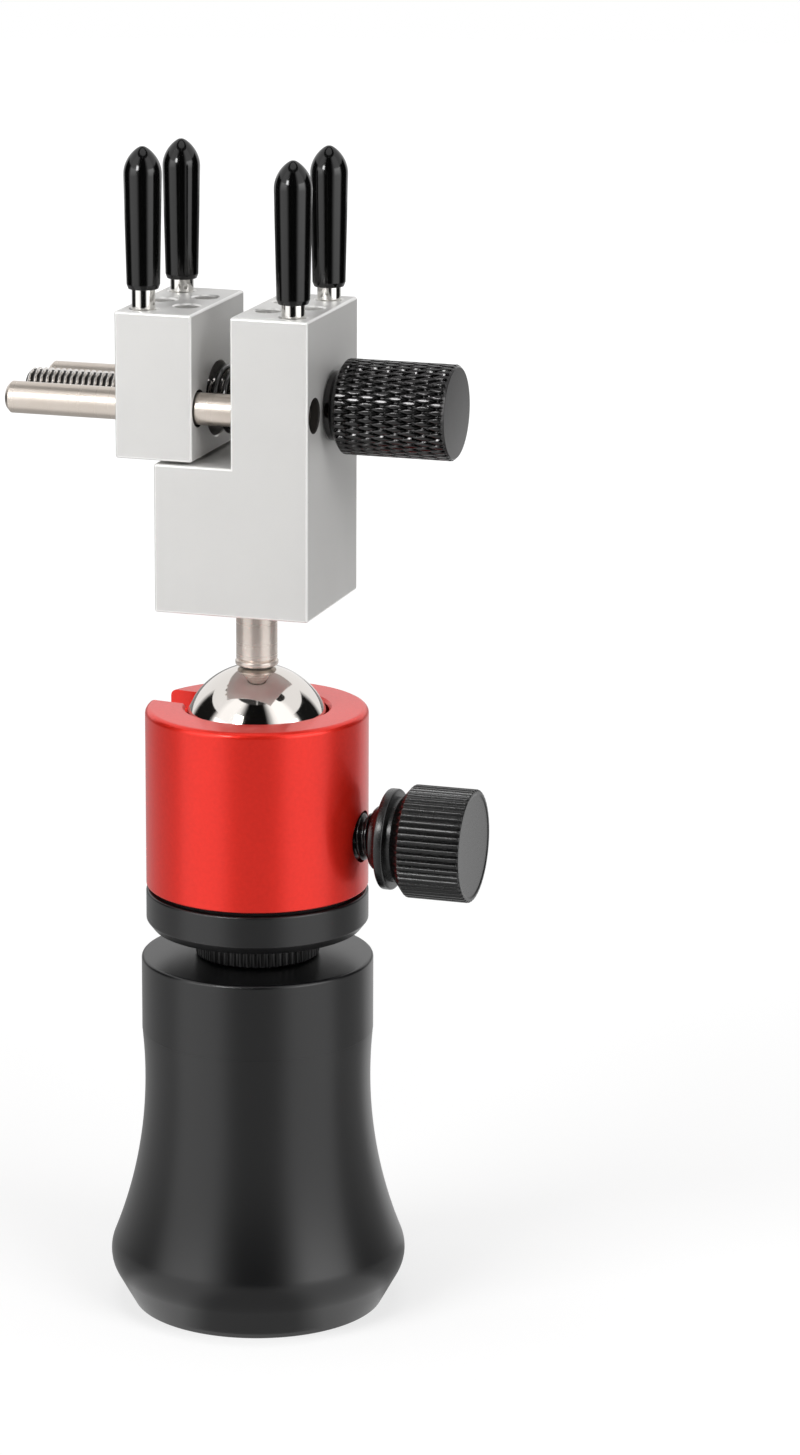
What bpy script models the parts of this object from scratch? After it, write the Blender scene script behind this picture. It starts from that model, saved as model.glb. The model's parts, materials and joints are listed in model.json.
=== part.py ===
"""Mini bench vise on a ball head: small pin vise, ball joint and turned foot.

Metres, +Z up. The origin is the middle of the foot's underside. +X runs along
the vise's rods towards its knob, and the front of the vise faces -Y.
"""

import math

import bmesh
import bpy
from mathutils import Matrix, Vector

# Gaps between neighbours
SEAT_GAP = 0.0003
TURN_GAP = 0.0002
CUT_OVERRUN = 0.002

# Foot: a cone up to a rounded widest edge, a hollow side up to the neck
FOOT_HEIGHT = 0.0464
FOOT_WIDEST_RADIUS = 0.019
FOOT_WIDEST_HEIGHT = 0.0066
FOOT_EDGE_ROUND = 0.005
FOOT_UNDERCUT_DEG = 29.0
FOOT_WAIST_RADIUS = 0.01446
FOOT_NECK_LENGTH = 0.0098
FOOT_NECK_ABOVE_WAIST = 0.0063
FOOT_TOP_BEVEL = 0.0004
FOOT_TREAD_ROUND = 0.0003

# Rubber pad let into the foot
PAD_RIM = 0.0027
PAD_THICKNESS = 0.0015

# Stud between foot and head
STUD_RADIUS = 0.0031
STUD_DEPTH_IN_FOOT = 0.008
STUD_BELOW_PLATE_TOP = 0.0004

# Ribbed lock ring on the stud
RING_RADIUS = 0.0079
RING_HEIGHT = 0.0034
RING_BEVEL = 0.0003
RING_RIB_COUNT = 54
RING_GROOVE_WIDTH = 0.0004
RING_GROOVE_DEPTH = 0.00025

# Disc under the housing
PLATE_OVERHANG = 0.00002
PLATE_THICKNESS = 0.005
PLATE_CHAMFER_HEIGHT = 0.0011
PLATE_CHAMFER_WIDTH = 0.00085
PLATE_SPIGOT_HEIGHT = 0.0018

# Ring in the groove between disc and housing
WASHER_THICKNESS = 0.0005
WASHER_SETBACK = 0.0009

# Housing
HOUSING_WALL = 0.00431
HOUSING_HEIGHT = 0.02315
HOUSING_TOP_ROUND = 0.0008
HOUSING_FOOT_BEVEL = 0.0003
LIP_DEPTH = 0.0004
LIP_BEVEL = 0.00035
SLOT_CLEARANCE = 0.00023
SLOT_BEARING_DEG = 172.0

# Ball and stem
BALL_RADIUS = 0.00952
BALL_BELOW_HOUSING_TOP = 0.0041
STEM_RADIUS = 0.0026
STEM_PIN_RADIUS = 0.0018
STEM_PIN_LENGTH = 0.0043
STEM_COLLAR_RADIUS = 0.00272
STEM_COLLAR_CONE = 0.0006
STEM_COLLAR_LAND = 0.0002
STEM_GROOVE_DEPTH = 0.00025
STEM_REACH = 0.01775
STEM_DEPTH_IN_JAW = 0.0117

# Cup under the ball and its disc spring
CUP_RIM_BELOW_BALL = 0.0045
CUP_DROP = 0.0003
CUP_SPRING_INSET = 0.00092
CUP_SPRING_WIDTH = 0.0028
CUP_SPRING_THICKNESS = 0.0003
CUP_SPRING_RISE = 0.0004

# Ball lock: plug, screw and ribbed knob, along +X
CLAMP_HEIGHT_SHARE = 0.31533
CLAMP_SCREW_RADIUS = 0.003
CLAMP_SCREW_LENGTH = 0.0114
CLAMP_PLUG_RADIUS = 0.0026
CLAMP_PLUG_NOSE_RADIUS = 0.0012
CLAMP_PLUG_NOSE_LENGTH = 0.0011
CLAMP_PLUG_LENGTH = 0.0031
CLAMP_STANDOFF = 0.00157
CLAMP_BOSS_RADIUS = 0.00375
CLAMP_FLANGE_RADIUS = 0.0064
CLAMP_FLARE_LENGTH = 0.0015
CLAMP_FLANGE_LENGTH = 0.0013
CLAMP_GROOVE_RADIUS = 0.0054
CLAMP_GROOVE_LENGTH = 0.0007
CLAMP_KNOB_RADIUS = 0.00717
CLAMP_KNOB_LENGTH = 0.00945
CLAMP_KNOB_CHAMFER = 0.0015
CLAMP_KNOB_FACE_BEVEL = 0.0002
CLAMP_RIB_COUNT = 50
CLAMP_GROOVE_WIDTH = 0.00042
CLAMP_GROOVE_DEPTH = 0.0003

# Jaws
BLOCK_WIDTH = 0.02
BLOCK_HEIGHT = 0.0375
LEDGE_HEIGHT = 0.01875
JAW_THICKNESS = 0.01
JAW_GAP = 0.005
JAW_LIFT = 0.0004
JAW_BEVEL = 0.0003
PIN_HOLE_INSET = 0.0028
PIN_SIDE_INSET = 0.003
PIN_INNER_SHARE = 0.5
PIN_HOLE_SHARE = 0.71429

# Rods and screw
ROD_RADIUS = 0.002
ROD_SIDE_WALL = 0.0007
ROD_REACH = 0.03
ROD_RECESS = 0.001
ROD_CHAMFER = 0.0005
SCREW_RADIUS = 0.0025
SCREW_CHAMFER = 0.0006

# Coil spring round the screw, and the room that it has
SPRING_WIRE_RADIUS = 0.0004
SPRING_SCREW_CLEARANCE = 0.00105
SPRING_ROD_CLEARANCE = 0.00095
SPRING_POCKET_FLOOR = 0.0017
SPRING_PITCH = 0.00128
SPRING_SEAT_DEPTH = 0.001

# Knurled knob
KNOB_RADIUS = 0.00595
KNOB_LENGTH = 0.0158
KNOB_NECK_RADIUS = 0.00435
KNOB_NECK_LENGTH = 0.0006
KNOB_CHAMFER_LENGTH = 0.0012
KNOB_FACE_BEVEL = 0.0002
KNOB_BORE_DEPTH = 0.011

# Pins and their sleeves
PIN_RADIUS = 0.00145
PIN_CHAMFER = 0.0003
CAP_LENGTH = 0.0175
CAP_TOP_RADIUS = 0.00237
CAP_MOUTH_RADIUS = 0.00207
CAP_NOSE_LENGTH = 0.0036
CAP_NOSE_TIP_RADIUS = 0.0005
CAP_MOUTH_ROUND = 0.0006
CAP_TIP_WALL = 0.0025
CAP_STANDOFF = 0.00165
RAISED_CAP_STANDOFF = 0.0025

# Segments of a full turn, and steps of an arc
LARGE_SEGMENTS = 48
BALL_SEGMENTS = 28
BALL_RINGS = 18
MEDIUM_SEGMENTS = 32
SMALL_SEGMENTS = 24
HOLE_SEGMENTS = 16
ROUND_STEPS = 2
EDGE_STEPS = 4
NECK_STEPS = 3
NOSE_STEPS = 3
FLARE_STEPS = 7
BOWL_STEPS = 6
SLOT_STEPS = 12
CURL_POINTS = 10
MERGE_DISTANCE = 0.000001

# Levels and places that follow from the sizes above
RING_BOTTOM = FOOT_HEIGHT + TURN_GAP
PLATE_BOTTOM = RING_BOTTOM + RING_HEIGHT + TURN_GAP
PLATE_TOP = PLATE_BOTTOM + PLATE_THICKNESS
HOUSING_BOTTOM = PLATE_TOP + WASHER_THICKNESS
HOUSING_TOP = HOUSING_BOTTOM + HOUSING_HEIGHT
BALL_LEVEL = HOUSING_TOP - BALL_BELOW_HOUSING_TOP
BORE_RADIUS = BALL_RADIUS + SEAT_GAP
HOUSING_RADIUS = BORE_RADIUS + HOUSING_WALL
PLATE_RADIUS = HOUSING_RADIUS + PLATE_OVERHANG
CLAMP_LEVEL = HOUSING_BOTTOM + CLAMP_HEIGHT_SHARE * HOUSING_HEIGHT
SPIGOT_TOP = HOUSING_BOTTOM + PLATE_SPIGOT_HEIGHT
CUP_SPRING_HEIGHT = CUP_SPRING_THICKNESS + CUP_SPRING_RISE
CUP_BOTTOM = SPIGOT_TOP + TURN_GAP + CUP_SPRING_HEIGHT + CUP_DROP + TURN_GAP
CUP_RADIUS = BORE_RADIUS - SEAT_GAP
CUP_SPRING_OUTER_RADIUS = CUP_RADIUS - CUP_SPRING_INSET
CUP_SPRING_INNER_RADIUS = CUP_SPRING_OUTER_RADIUS - CUP_SPRING_WIDTH
PLUG_END_X = BORE_RADIUS - SEAT_GAP
PLUG_NOSE_X = PLUG_END_X - CLAMP_PLUG_LENGTH
STEM_HOLE_RIM = math.sqrt(BALL_RADIUS**2 - (STEM_PIN_RADIUS + SEAT_GAP) ** 2)
STEM_SEAT = BALL_LEVEL + STEM_HOLE_RIM + TURN_GAP
BLOCK_BOTTOM = BALL_LEVEL + STEM_REACH
BLOCK_TOP = BLOCK_BOTTOM + BLOCK_HEIGHT
LEDGE_LEVEL = BLOCK_BOTTOM + LEDGE_HEIGHT
MOVING_BOTTOM = LEDGE_LEVEL + JAW_LIFT
SPRING_OUTER_RADIUS = SCREW_RADIUS + SPRING_SCREW_CLEARANCE + 2 * SPRING_WIRE_RADIUS
SPRING_POCKET_RADIUS = SPRING_OUTER_RADIUS + SEAT_GAP
ROD_Y = SPRING_OUTER_RADIUS + SPRING_ROD_CLEARANCE + ROD_RADIUS
ROD_LEVEL = MOVING_BOTTOM + SPRING_POCKET_FLOOR + SPRING_POCKET_RADIUS
HALF_DEPTH = ROD_Y + ROD_RADIUS + ROD_SIDE_WALL
FIXED_FACE_X = BLOCK_WIDTH / 2 - JAW_THICKNESS
MOVING_FACE_X = FIXED_FACE_X - JAW_GAP
BLOCK_RIGHT_X = BLOCK_WIDTH / 2
ROD_LEFT_X = -ROD_REACH
WALL_ABOVE_RODS = BLOCK_TOP - ROD_LEVEL - ROD_RADIUS - TURN_GAP
PIN_HOLE_DEPTH = PIN_HOLE_SHARE * WALL_ABOVE_RODS
PIN_ROW_Y = HALF_DEPTH - PIN_SIDE_INSET
PIN_INNER_Y = PIN_INNER_SHARE * PIN_ROW_Y
PIN_BOTTOM = BLOCK_TOP - PIN_HOLE_DEPTH + SEAT_GAP
CAP_BORE_DEPTH = CAP_LENGTH - CAP_TIP_WALL
PIN_TOP = BLOCK_TOP + CAP_STANDOFF + CAP_BORE_DEPTH - SEAT_GAP
LEFT_PIN_X = MOVING_FACE_X - JAW_THICKNESS + PIN_HOLE_INSET
RIGHT_PIN_X = BLOCK_RIGHT_X - PIN_HOLE_INSET

SMOOTH_ANGLE = math.radians(35)
AXIS_X_TURN = (0, math.radians(90), 0)


def fresh_collections():
    """Empty the file and return the collections for the parts and the cutters."""
    for old in list(bpy.data.objects):
        bpy.data.objects.remove(old, do_unlink=True)
    made = []
    for name in ("mini_bench_vise", "cutters"):
        collection = bpy.data.collections.new(name)
        bpy.context.scene.collection.children.link(collection)
        made.append(collection)
    return made


PARTS, CUTTERS = fresh_collections()


def finish(name, colour, roughness, metallic):
    """Make a material with one Principled shader."""
    material = bpy.data.materials.new(name)
    material.use_nodes = True
    shader = material.node_tree.nodes["Principled BSDF"]
    shader.inputs["Base Color"].default_value = (*colour, 1)
    shader.inputs["Roughness"].default_value = roughness
    shader.inputs["Metallic"].default_value = metallic
    material.diffuse_color = (*colour, 1)
    return material


BLACK_SATIN = finish("black_satin", (0.022, 0.022, 0.023), 0.42, 0.6)
BLACK_RUBBER = finish("black_rubber", (0.018, 0.018, 0.018), 0.85, 0)
BLACK_PLASTIC = finish("black_plastic", (0.009, 0.009, 0.009), 0.12, 0)
BLACK_SPRING_STEEL = finish("black_spring_steel", (0.02, 0.02, 0.021), 0.3, 1)
RED_ANODISED = finish("red_anodised", (0.62, 0.028, 0.018), 0.34, 0.75)
SATIN_ALUMINIUM = finish("satin_aluminium", (0.72, 0.72, 0.71), 0.45, 1)
NICKEL_STEEL = finish("nickel_steel", (0.76, 0.71, 0.65), 0.22, 1)
CHROME = finish("chrome", (0.83, 0.83, 0.83), 0.04, 1)
BRASS = finish("brass", (0.72, 0.5, 0.2), 0.3, 1)
GREY_ACETAL = finish("grey_acetal", (0.24, 0.24, 0.24), 0.5, 0)


def place(obj, collection, material=None, location=(0, 0, 0), rotation=(0, 0, 0), parent=None):
    """Link an object, give it its material, and set it where it belongs in the world."""
    collection.objects.link(obj)
    if material is not None:
        obj.data.materials.append(material)
    obj.location = location
    if parent is not None:
        obj.parent = parent
        obj.location -= parent.matrix_world.translation
    obj.rotation_euler = rotation
    if collection is CUTTERS:
        obj.hide_render = True
        obj.display_type = "WIRE"
    bpy.context.view_layer.update()
    return obj


def pivot(name, location, parent=None):
    """An empty on a joint's axis, which carries what moves there."""
    return place(bpy.data.objects.new(name, None), PARTS, location=location, parent=parent)


def line_mesh(name, points, closed):
    """A mesh of edges through (radius, height) points in the XZ plane."""
    mesh = bpy.data.meshes.new(name)
    count = len(points)
    edges = [(i, (i + 1) % count) for i in range(count if closed else count - 1)]
    mesh.from_pydata([(radius, 0, height) for radius, height in points], edges, [])
    return mesh


def turned(name, points, segments, collection, material=None, **where):
    """A turned piece: its (radius, height) outline, top to bottom outside, spun about Z."""
    closed = points[0][0] > 0
    obj = place(bpy.data.objects.new(name, line_mesh(name, points, closed)), collection, material, **where)
    spin = obj.modifiers.new("turn", "SCREW")
    spin.steps = segments
    spin.render_steps = segments
    spin.use_merge_vertices = True
    spin.merge_threshold = MERGE_DISTANCE
    return obj


def cylinder(name, radius, bottom, top, segments, collection, material=None, **where):
    """A plain turned cylinder from bottom to top."""
    outline = [(0, top), (radius, top), (radius, bottom), (0, bottom)]
    return turned(name, outline, segments, collection, material, **where)


def box(name, low, high, collection, material=None, parent=None):
    """A box between two corners, with its origin at its centre."""
    low, high = Vector(low), Vector(high)
    mesh = bpy.data.meshes.new(name)
    shape = bmesh.new()
    bmesh.ops.create_cube(shape, size=1)
    bmesh.ops.scale(shape, vec=high - low, verts=shape.verts)
    shape.to_mesh(mesh)
    shape.free()
    return place(bpy.data.objects.new(name, mesh), collection, material, (low + high) / 2, parent=parent)


def arc(centre, radius, start_deg, end_deg, steps):
    """Points of an arc in (radius, height) terms, ends included."""
    points = []
    for i in range(steps + 1):
        angle = math.radians(start_deg + (end_deg - start_deg) * i / steps)
        points.append((centre[0] + radius * math.cos(angle), centre[1] + radius * math.sin(angle)))
    return points


def cut(obj, cutter):
    """Cut an object with another."""
    step = obj.modifiers.new(cutter.name, "BOOLEAN")
    step.operation = "DIFFERENCE"
    step.object = cutter
    step.solver = "EXACT"


def bevelled(obj, width):
    """Break an object's sharp edges with one flat."""
    step = obj.modifiers.new("edges", "BEVEL")
    step.width = width
    step.segments = 1
    step.limit_method = "ANGLE"


def settled(obj):
    """Apply an object's modifiers and shade it, smooth where it is round."""
    graph = bpy.context.evaluated_depsgraph_get()
    mesh = bpy.data.meshes.new_from_object(obj.evaluated_get(graph))
    obj.modifiers.clear()
    old = obj.data
    obj.data = mesh
    mesh.name = obj.name
    bpy.data.meshes.remove(old)
    mesh.shade_smooth()
    mesh.set_sharp_from_angle(angle=SMOOTH_ANGLE)
    return obj


def groove_cutter(name, radius, low, high, count, width, depth):
    """Four-sided bars, one edge inwards, round a cylinder along Z: they cut its grooves."""
    mesh = bpy.data.meshes.new(name)
    shape = bmesh.new()
    for i in range(count):
        bar = bmesh.ops.create_cone(
            shape, cap_ends=True, segments=4, radius1=depth, radius2=depth, depth=high - low
        )["verts"]
        widened = Matrix.Diagonal((1, width / (2 * depth), 1, 1))
        outwards = Matrix.Translation((radius, 0, (low + high) / 2))
        round_axis = Matrix.Rotation(2 * math.pi * i / count, 4, "Z")
        bmesh.ops.transform(shape, matrix=round_axis @ outwards @ widened, verts=bar)
    shape.to_mesh(mesh)
    shape.free()
    return bpy.data.objects.new(name, mesh)


def foot_outline():
    """The foot's side, top to bottom, and the radius of its tread."""
    waist_level = FOOT_HEIGHT - FOOT_NECK_LENGTH - FOOT_NECK_ABOVE_WAIST
    rise = waist_level - FOOT_WIDEST_HEIGHT
    swell = FOOT_WIDEST_RADIUS - FOOT_WAIST_RADIUS
    offset = FOOT_EDGE_ROUND - swell
    flare_radius = (offset**2 + rise**2 - FOOT_EDGE_ROUND**2) / (2 * swell)
    meet_deg = math.degrees(math.atan2(rise, flare_radius + offset))
    neck_deg = math.degrees(math.asin(FOOT_NECK_ABOVE_WAIST / flare_radius))
    flare_centre = (FOOT_WAIST_RADIUS + flare_radius, waist_level)
    flare = arc(flare_centre, flare_radius, 180 - neck_deg, 180 + meet_deg, FLARE_STEPS)
    edge_centre = (FOOT_WIDEST_RADIUS - FOOT_EDGE_ROUND, FOOT_WIDEST_HEIGHT)
    edge = arc(edge_centre, FOOT_EDGE_ROUND, meet_deg, -FOOT_UNDERCUT_DEG, EDGE_STEPS)
    cone_drop = edge[-1][1] - FOOT_TREAD_ROUND
    cone_foot = edge[-1][0] - cone_drop * math.tan(math.radians(FOOT_UNDERCUT_DEG))
    tread_radius = cone_foot - FOOT_TREAD_ROUND
    outline = [
        (0, FOOT_HEIGHT),
        (flare[0][0] - FOOT_TOP_BEVEL, FOOT_HEIGHT),
        (flare[0][0], FOOT_HEIGHT - FOOT_TOP_BEVEL),
        *flare,
        *edge[1:],
        (cone_foot, FOOT_TREAD_ROUND),
        (tread_radius, 0),
        (0, 0),
    ]
    return outline, tread_radius


def build_foot():
    """Foot, its rubber pad and the stud that carries the head."""
    outline, tread_radius = foot_outline()
    pad_radius = tread_radius - PAD_RIM
    foot = turned("base_body", outline, LARGE_SEGMENTS, PARTS, BLACK_SATIN)
    recess = cylinder(
        "pad_recess", pad_radius + SEAT_GAP, -CUT_OVERRUN, PAD_THICKNESS + SEAT_GAP, MEDIUM_SEGMENTS, CUTTERS
    )
    stud_foot = FOOT_HEIGHT - STUD_DEPTH_IN_FOOT
    stud_hole = cylinder(
        "stud_hole", STUD_RADIUS + SEAT_GAP, stud_foot, FOOT_HEIGHT + CUT_OVERRUN, SMALL_SEGMENTS, CUTTERS
    )
    cut(foot, recess)
    cut(foot, stud_hole)
    settled(foot)
    pad = cylinder("foot_pad", pad_radius, 0, PAD_THICKNESS, MEDIUM_SEGMENTS, PARTS, BLACK_RUBBER)
    settled(pad)
    stud_top = PLATE_TOP - STUD_BELOW_PLATE_TOP
    stud = cylinder(
        "base_stud", STUD_RADIUS, stud_foot + SEAT_GAP, stud_top, SMALL_SEGMENTS, PARTS, NICKEL_STEEL
    )
    settled(stud)


def ring_outline(outer, inner, bottom, top, bevel):
    """A bored ring's outline with broken outer edges."""
    return [
        (inner, top),
        (outer - bevel, top),
        (outer, top - bevel),
        (outer, bottom + bevel),
        (outer - bevel, bottom),
        (inner, bottom),
    ]


def build_lock_ring():
    """Ribbed ring on the stud, under the head."""
    ring_top = RING_BOTTOM + RING_HEIGHT
    outline = ring_outline(RING_RADIUS, STUD_RADIUS + SEAT_GAP, RING_BOTTOM, ring_top, RING_BEVEL)
    ring = turned("lock_ring", outline, RING_RIB_COUNT, PARTS, BLACK_SATIN)
    grooves = groove_cutter(
        "ring_grooves",
        RING_RADIUS,
        RING_BOTTOM - CUT_OVERRUN,
        ring_top + CUT_OVERRUN,
        RING_RIB_COUNT,
        RING_GROOVE_WIDTH,
        RING_GROOVE_DEPTH,
    )
    place(grooves, CUTTERS)
    cut(ring, grooves)
    settled(ring)


def build_head(head):
    """Disc, groove ring and housing, which turn together on the stud."""
    stud_bore = STUD_RADIUS + SEAT_GAP
    spigot_radius = BORE_RADIUS - SEAT_GAP
    plate = turned(
        "head_plate",
        [
            (stud_bore, SPIGOT_TOP),
            (spigot_radius, SPIGOT_TOP),
            (spigot_radius, PLATE_TOP),
            (PLATE_RADIUS, PLATE_TOP),
            (PLATE_RADIUS, PLATE_BOTTOM + PLATE_CHAMFER_HEIGHT),
            (PLATE_RADIUS - PLATE_CHAMFER_WIDTH, PLATE_BOTTOM),
            (stud_bore, PLATE_BOTTOM),
        ],
        LARGE_SEGMENTS,
        PARTS,
        BLACK_SATIN,
        parent=head,
    )
    settled(plate)
    washer_radius = PLATE_RADIUS - WASHER_SETBACK
    washer = turned(
        "groove_washer",
        [
            (BORE_RADIUS, HOUSING_BOTTOM),
            (washer_radius, HOUSING_BOTTOM),
            (washer_radius, PLATE_TOP),
            (BORE_RADIUS, PLATE_TOP),
        ],
        LARGE_SEGMENTS,
        PARTS,
        BLACK_RUBBER,
        parent=head,
    )
    settled(washer)
    build_housing(head)
    spring_foot = SPIGOT_TOP + TURN_GAP
    spring = turned(
        "seat_spring",
        [
            (CUP_SPRING_INNER_RADIUS, spring_foot + CUP_SPRING_HEIGHT),
            (CUP_SPRING_OUTER_RADIUS, spring_foot + CUP_SPRING_THICKNESS),
            (CUP_SPRING_OUTER_RADIUS, spring_foot),
            (CUP_SPRING_INNER_RADIUS, spring_foot + CUP_SPRING_RISE),
        ],
        MEDIUM_SEGMENTS,
        PARTS,
        NICKEL_STEEL,
        parent=head,
    )
    settled(spring)


def build_housing(head):
    """Red cup that holds the ball, with its slot and its lock hole."""
    round_centre = (HOUSING_RADIUS - HOUSING_TOP_ROUND, HOUSING_TOP - HOUSING_TOP_ROUND)
    neck_rise = BALL_BELOW_HOUSING_TOP - LIP_DEPTH
    neck_deg = math.degrees(math.asin(neck_rise / BORE_RADIUS))
    neck = arc((0, BALL_LEVEL), BORE_RADIUS, 0, neck_deg, NECK_STEPS)
    outline = arc(round_centre, HOUSING_TOP_ROUND, 90, 0, ROUND_STEPS)
    outline += [(HOUSING_RADIUS, HOUSING_BOTTOM + HOUSING_FOOT_BEVEL)]
    outline += [(HOUSING_RADIUS - HOUSING_FOOT_BEVEL, HOUSING_BOTTOM)]
    outline += [(BORE_RADIUS, HOUSING_BOTTOM)]
    outline += neck
    outline += [(neck[-1][0] + LIP_BEVEL, HOUSING_TOP)]
    housing = turned("ball_housing", outline, LARGE_SEGMENTS, PARTS, RED_ANODISED, parent=head)
    cut(housing, slot_cutter())
    clamp_hole = cylinder(
        "clamp_hole",
        CLAMP_SCREW_RADIUS + SEAT_GAP,
        PLUG_NOSE_X,
        HOUSING_RADIUS + CUT_OVERRUN,
        SMALL_SEGMENTS,
        CUTTERS,
        location=(0, 0, CLAMP_LEVEL),
        rotation=AXIS_X_TURN,
    )
    cut(housing, clamp_hole)
    settled(housing)


def slot_cutter():
    """A bar with a round foot that runs out through one side of the housing."""
    half = STEM_COLLAR_RADIUS + SLOT_CLEARANCE
    top = BALL_BELOW_HOUSING_TOP + CUT_OVERRUN
    reach = HOUSING_RADIUS + CUT_OVERRUN
    curve = bpy.data.curves.new("slot_outline", "CURVE")
    curve.dimensions = "2D"
    curve.fill_mode = "BOTH"
    curve.extrude = reach / 2
    points = [(-half, top), *arc((0, 0), half, -180, 0, SLOT_STEPS), (half, top)]
    spline = curve.splines.new("POLY")
    spline.points.add(len(points) - 1)
    for point, (across, up) in zip(spline.points, points):
        point.co = (across, up, 0, 1)
    spline.use_cyclic_u = True
    bearing = math.radians(SLOT_BEARING_DEG)
    middle = Vector((math.cos(bearing), math.sin(bearing), 0)) * (reach / 2)
    middle.z = BALL_LEVEL
    upright = (math.radians(90), 0, bearing - math.radians(90))
    outline = place(bpy.data.objects.new("slot_outline", curve), CUTTERS, location=middle, rotation=upright)
    return meshed(outline, "slot")


def meshed(curve_object, name):
    """Replace a curve object with a closed mesh of it, which a Boolean can read."""
    graph = bpy.context.evaluated_depsgraph_get()
    mesh = bpy.data.meshes.new_from_object(curve_object.evaluated_get(graph))
    shape = bmesh.new()
    shape.from_mesh(mesh)
    bmesh.ops.remove_doubles(shape, verts=shape.verts, dist=MERGE_DISTANCE)
    shape.to_mesh(mesh)
    shape.free()
    made = place(bpy.data.objects.new(name, mesh), CUTTERS)
    made.matrix_world = curve_object.matrix_world
    bpy.data.objects.remove(curve_object, do_unlink=True)
    bpy.context.view_layer.update()
    return made


def build_seat(head):
    """Cup under the ball, with a side hole for the lock's plug."""
    cup_top = BALL_LEVEL - CUP_RIM_BELOW_BALL
    rim_deg = math.degrees(math.asin(CUP_RIM_BELOW_BALL / BORE_RADIUS))
    bowl = arc((0, BALL_LEVEL), BORE_RADIUS, -90, -rim_deg, BOWL_STEPS)
    outline = [
        (0, BALL_LEVEL - BORE_RADIUS),
        *bowl[1:],
        (CUP_RADIUS, cup_top),
        (CUP_RADIUS, CUP_BOTTOM),
        (0, CUP_BOTTOM),
    ]
    cup = turned("ball_seat", outline, MEDIUM_SEGMENTS, PARTS, GREY_ACETAL, parent=head)
    plug_hole = cylinder(
        "plug_hole",
        CLAMP_PLUG_RADIUS + CUP_DROP + SEAT_GAP,
        PLUG_NOSE_X - SEAT_GAP,
        CUP_RADIUS + CUT_OVERRUN,
        SMALL_SEGMENTS,
        CUTTERS,
        location=(0, 0, CLAMP_LEVEL),
        rotation=AXIS_X_TURN,
    )
    cut(cup, plug_hole)
    settled(cup)


def build_clamp(travel, turn):
    """Plug, screw and ribbed knob of the ball lock."""
    on_axis = {"location": (0, 0, CLAMP_LEVEL), "rotation": AXIS_X_TURN}
    plug = turned(
        "clamp_plug",
        [
            (0, PLUG_END_X),
            (CLAMP_PLUG_RADIUS, PLUG_END_X),
            (CLAMP_PLUG_RADIUS, PLUG_NOSE_X + CLAMP_PLUG_NOSE_LENGTH),
            (CLAMP_PLUG_NOSE_RADIUS, PLUG_NOSE_X),
            (0, PLUG_NOSE_X),
        ],
        SMALL_SEGMENTS,
        PARTS,
        BRASS,
        parent=travel,
        **on_axis,
    )
    settled(plug)
    screw_foot = PLUG_END_X + SEAT_GAP
    screw_head = screw_foot + CLAMP_SCREW_LENGTH
    screw = cylinder(
        "clamp_screw",
        CLAMP_SCREW_RADIUS,
        screw_foot,
        screw_head,
        SMALL_SEGMENTS,
        PARTS,
        BLACK_SATIN,
        parent=turn,
        **on_axis,
    )
    settled(screw)
    boss = HOUSING_RADIUS + CLAMP_STANDOFF
    flange_start = boss + CLAMP_FLARE_LENGTH
    flange_end = flange_start + CLAMP_FLANGE_LENGTH
    body_start = flange_end + CLAMP_GROOVE_LENGTH
    face = body_start + CLAMP_KNOB_LENGTH
    bore = CLAMP_SCREW_RADIUS + SEAT_GAP
    bore_end = screw_head + SEAT_GAP
    flange_edge = CLAMP_FLANGE_LENGTH / 4
    outline = [
        (0, face),
        (CLAMP_KNOB_RADIUS - CLAMP_KNOB_FACE_BEVEL, face),
        (CLAMP_KNOB_RADIUS, face - CLAMP_KNOB_FACE_BEVEL),
        (CLAMP_KNOB_RADIUS, body_start + CLAMP_KNOB_CHAMFER),
        (CLAMP_GROOVE_RADIUS, body_start),
        (CLAMP_GROOVE_RADIUS, flange_end),
        (CLAMP_FLANGE_RADIUS - flange_edge, flange_end),
        (CLAMP_FLANGE_RADIUS, flange_end - flange_edge),
        (CLAMP_FLANGE_RADIUS, flange_start + flange_edge),
        (CLAMP_FLANGE_RADIUS - flange_edge, flange_start),
        (CLAMP_BOSS_RADIUS, boss),
        (bore, boss),
        (bore, bore_end),
        (0, bore_end),
    ]
    knob = turned("clamp_knob", outline, CLAMP_RIB_COUNT, PARTS, BLACK_SATIN, parent=turn, **on_axis)
    grooves = groove_cutter(
        "clamp_grooves",
        CLAMP_KNOB_RADIUS,
        body_start + CLAMP_KNOB_FACE_BEVEL,
        face + CUT_OVERRUN,
        CLAMP_RIB_COUNT,
        CLAMP_GROOVE_WIDTH,
        CLAMP_GROOVE_DEPTH,
    )
    place(grooves, CUTTERS, **on_axis)
    cut(knob, grooves)
    settled(knob)


def build_ball(ball):
    """Ball with a blind hole for its stem."""
    mesh = bpy.data.meshes.new("ball")
    shape = bmesh.new()
    bmesh.ops.create_uvsphere(shape, u_segments=BALL_SEGMENTS, v_segments=BALL_RINGS, radius=BALL_RADIUS)
    shape.to_mesh(mesh)
    shape.free()
    obj = place(bpy.data.objects.new("ball", mesh), PARTS, CHROME, location=(0, 0, BALL_LEVEL), parent=ball)
    hole = cylinder(
        "stem_hole_in_ball",
        STEM_PIN_RADIUS + SEAT_GAP,
        STEM_SEAT - STEM_PIN_LENGTH - SEAT_GAP,
        BALL_LEVEL + BALL_RADIUS + CUT_OVERRUN,
        SMALL_SEGMENTS,
        CUTTERS,
    )
    cut(obj, hole)
    settled(obj)


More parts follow.
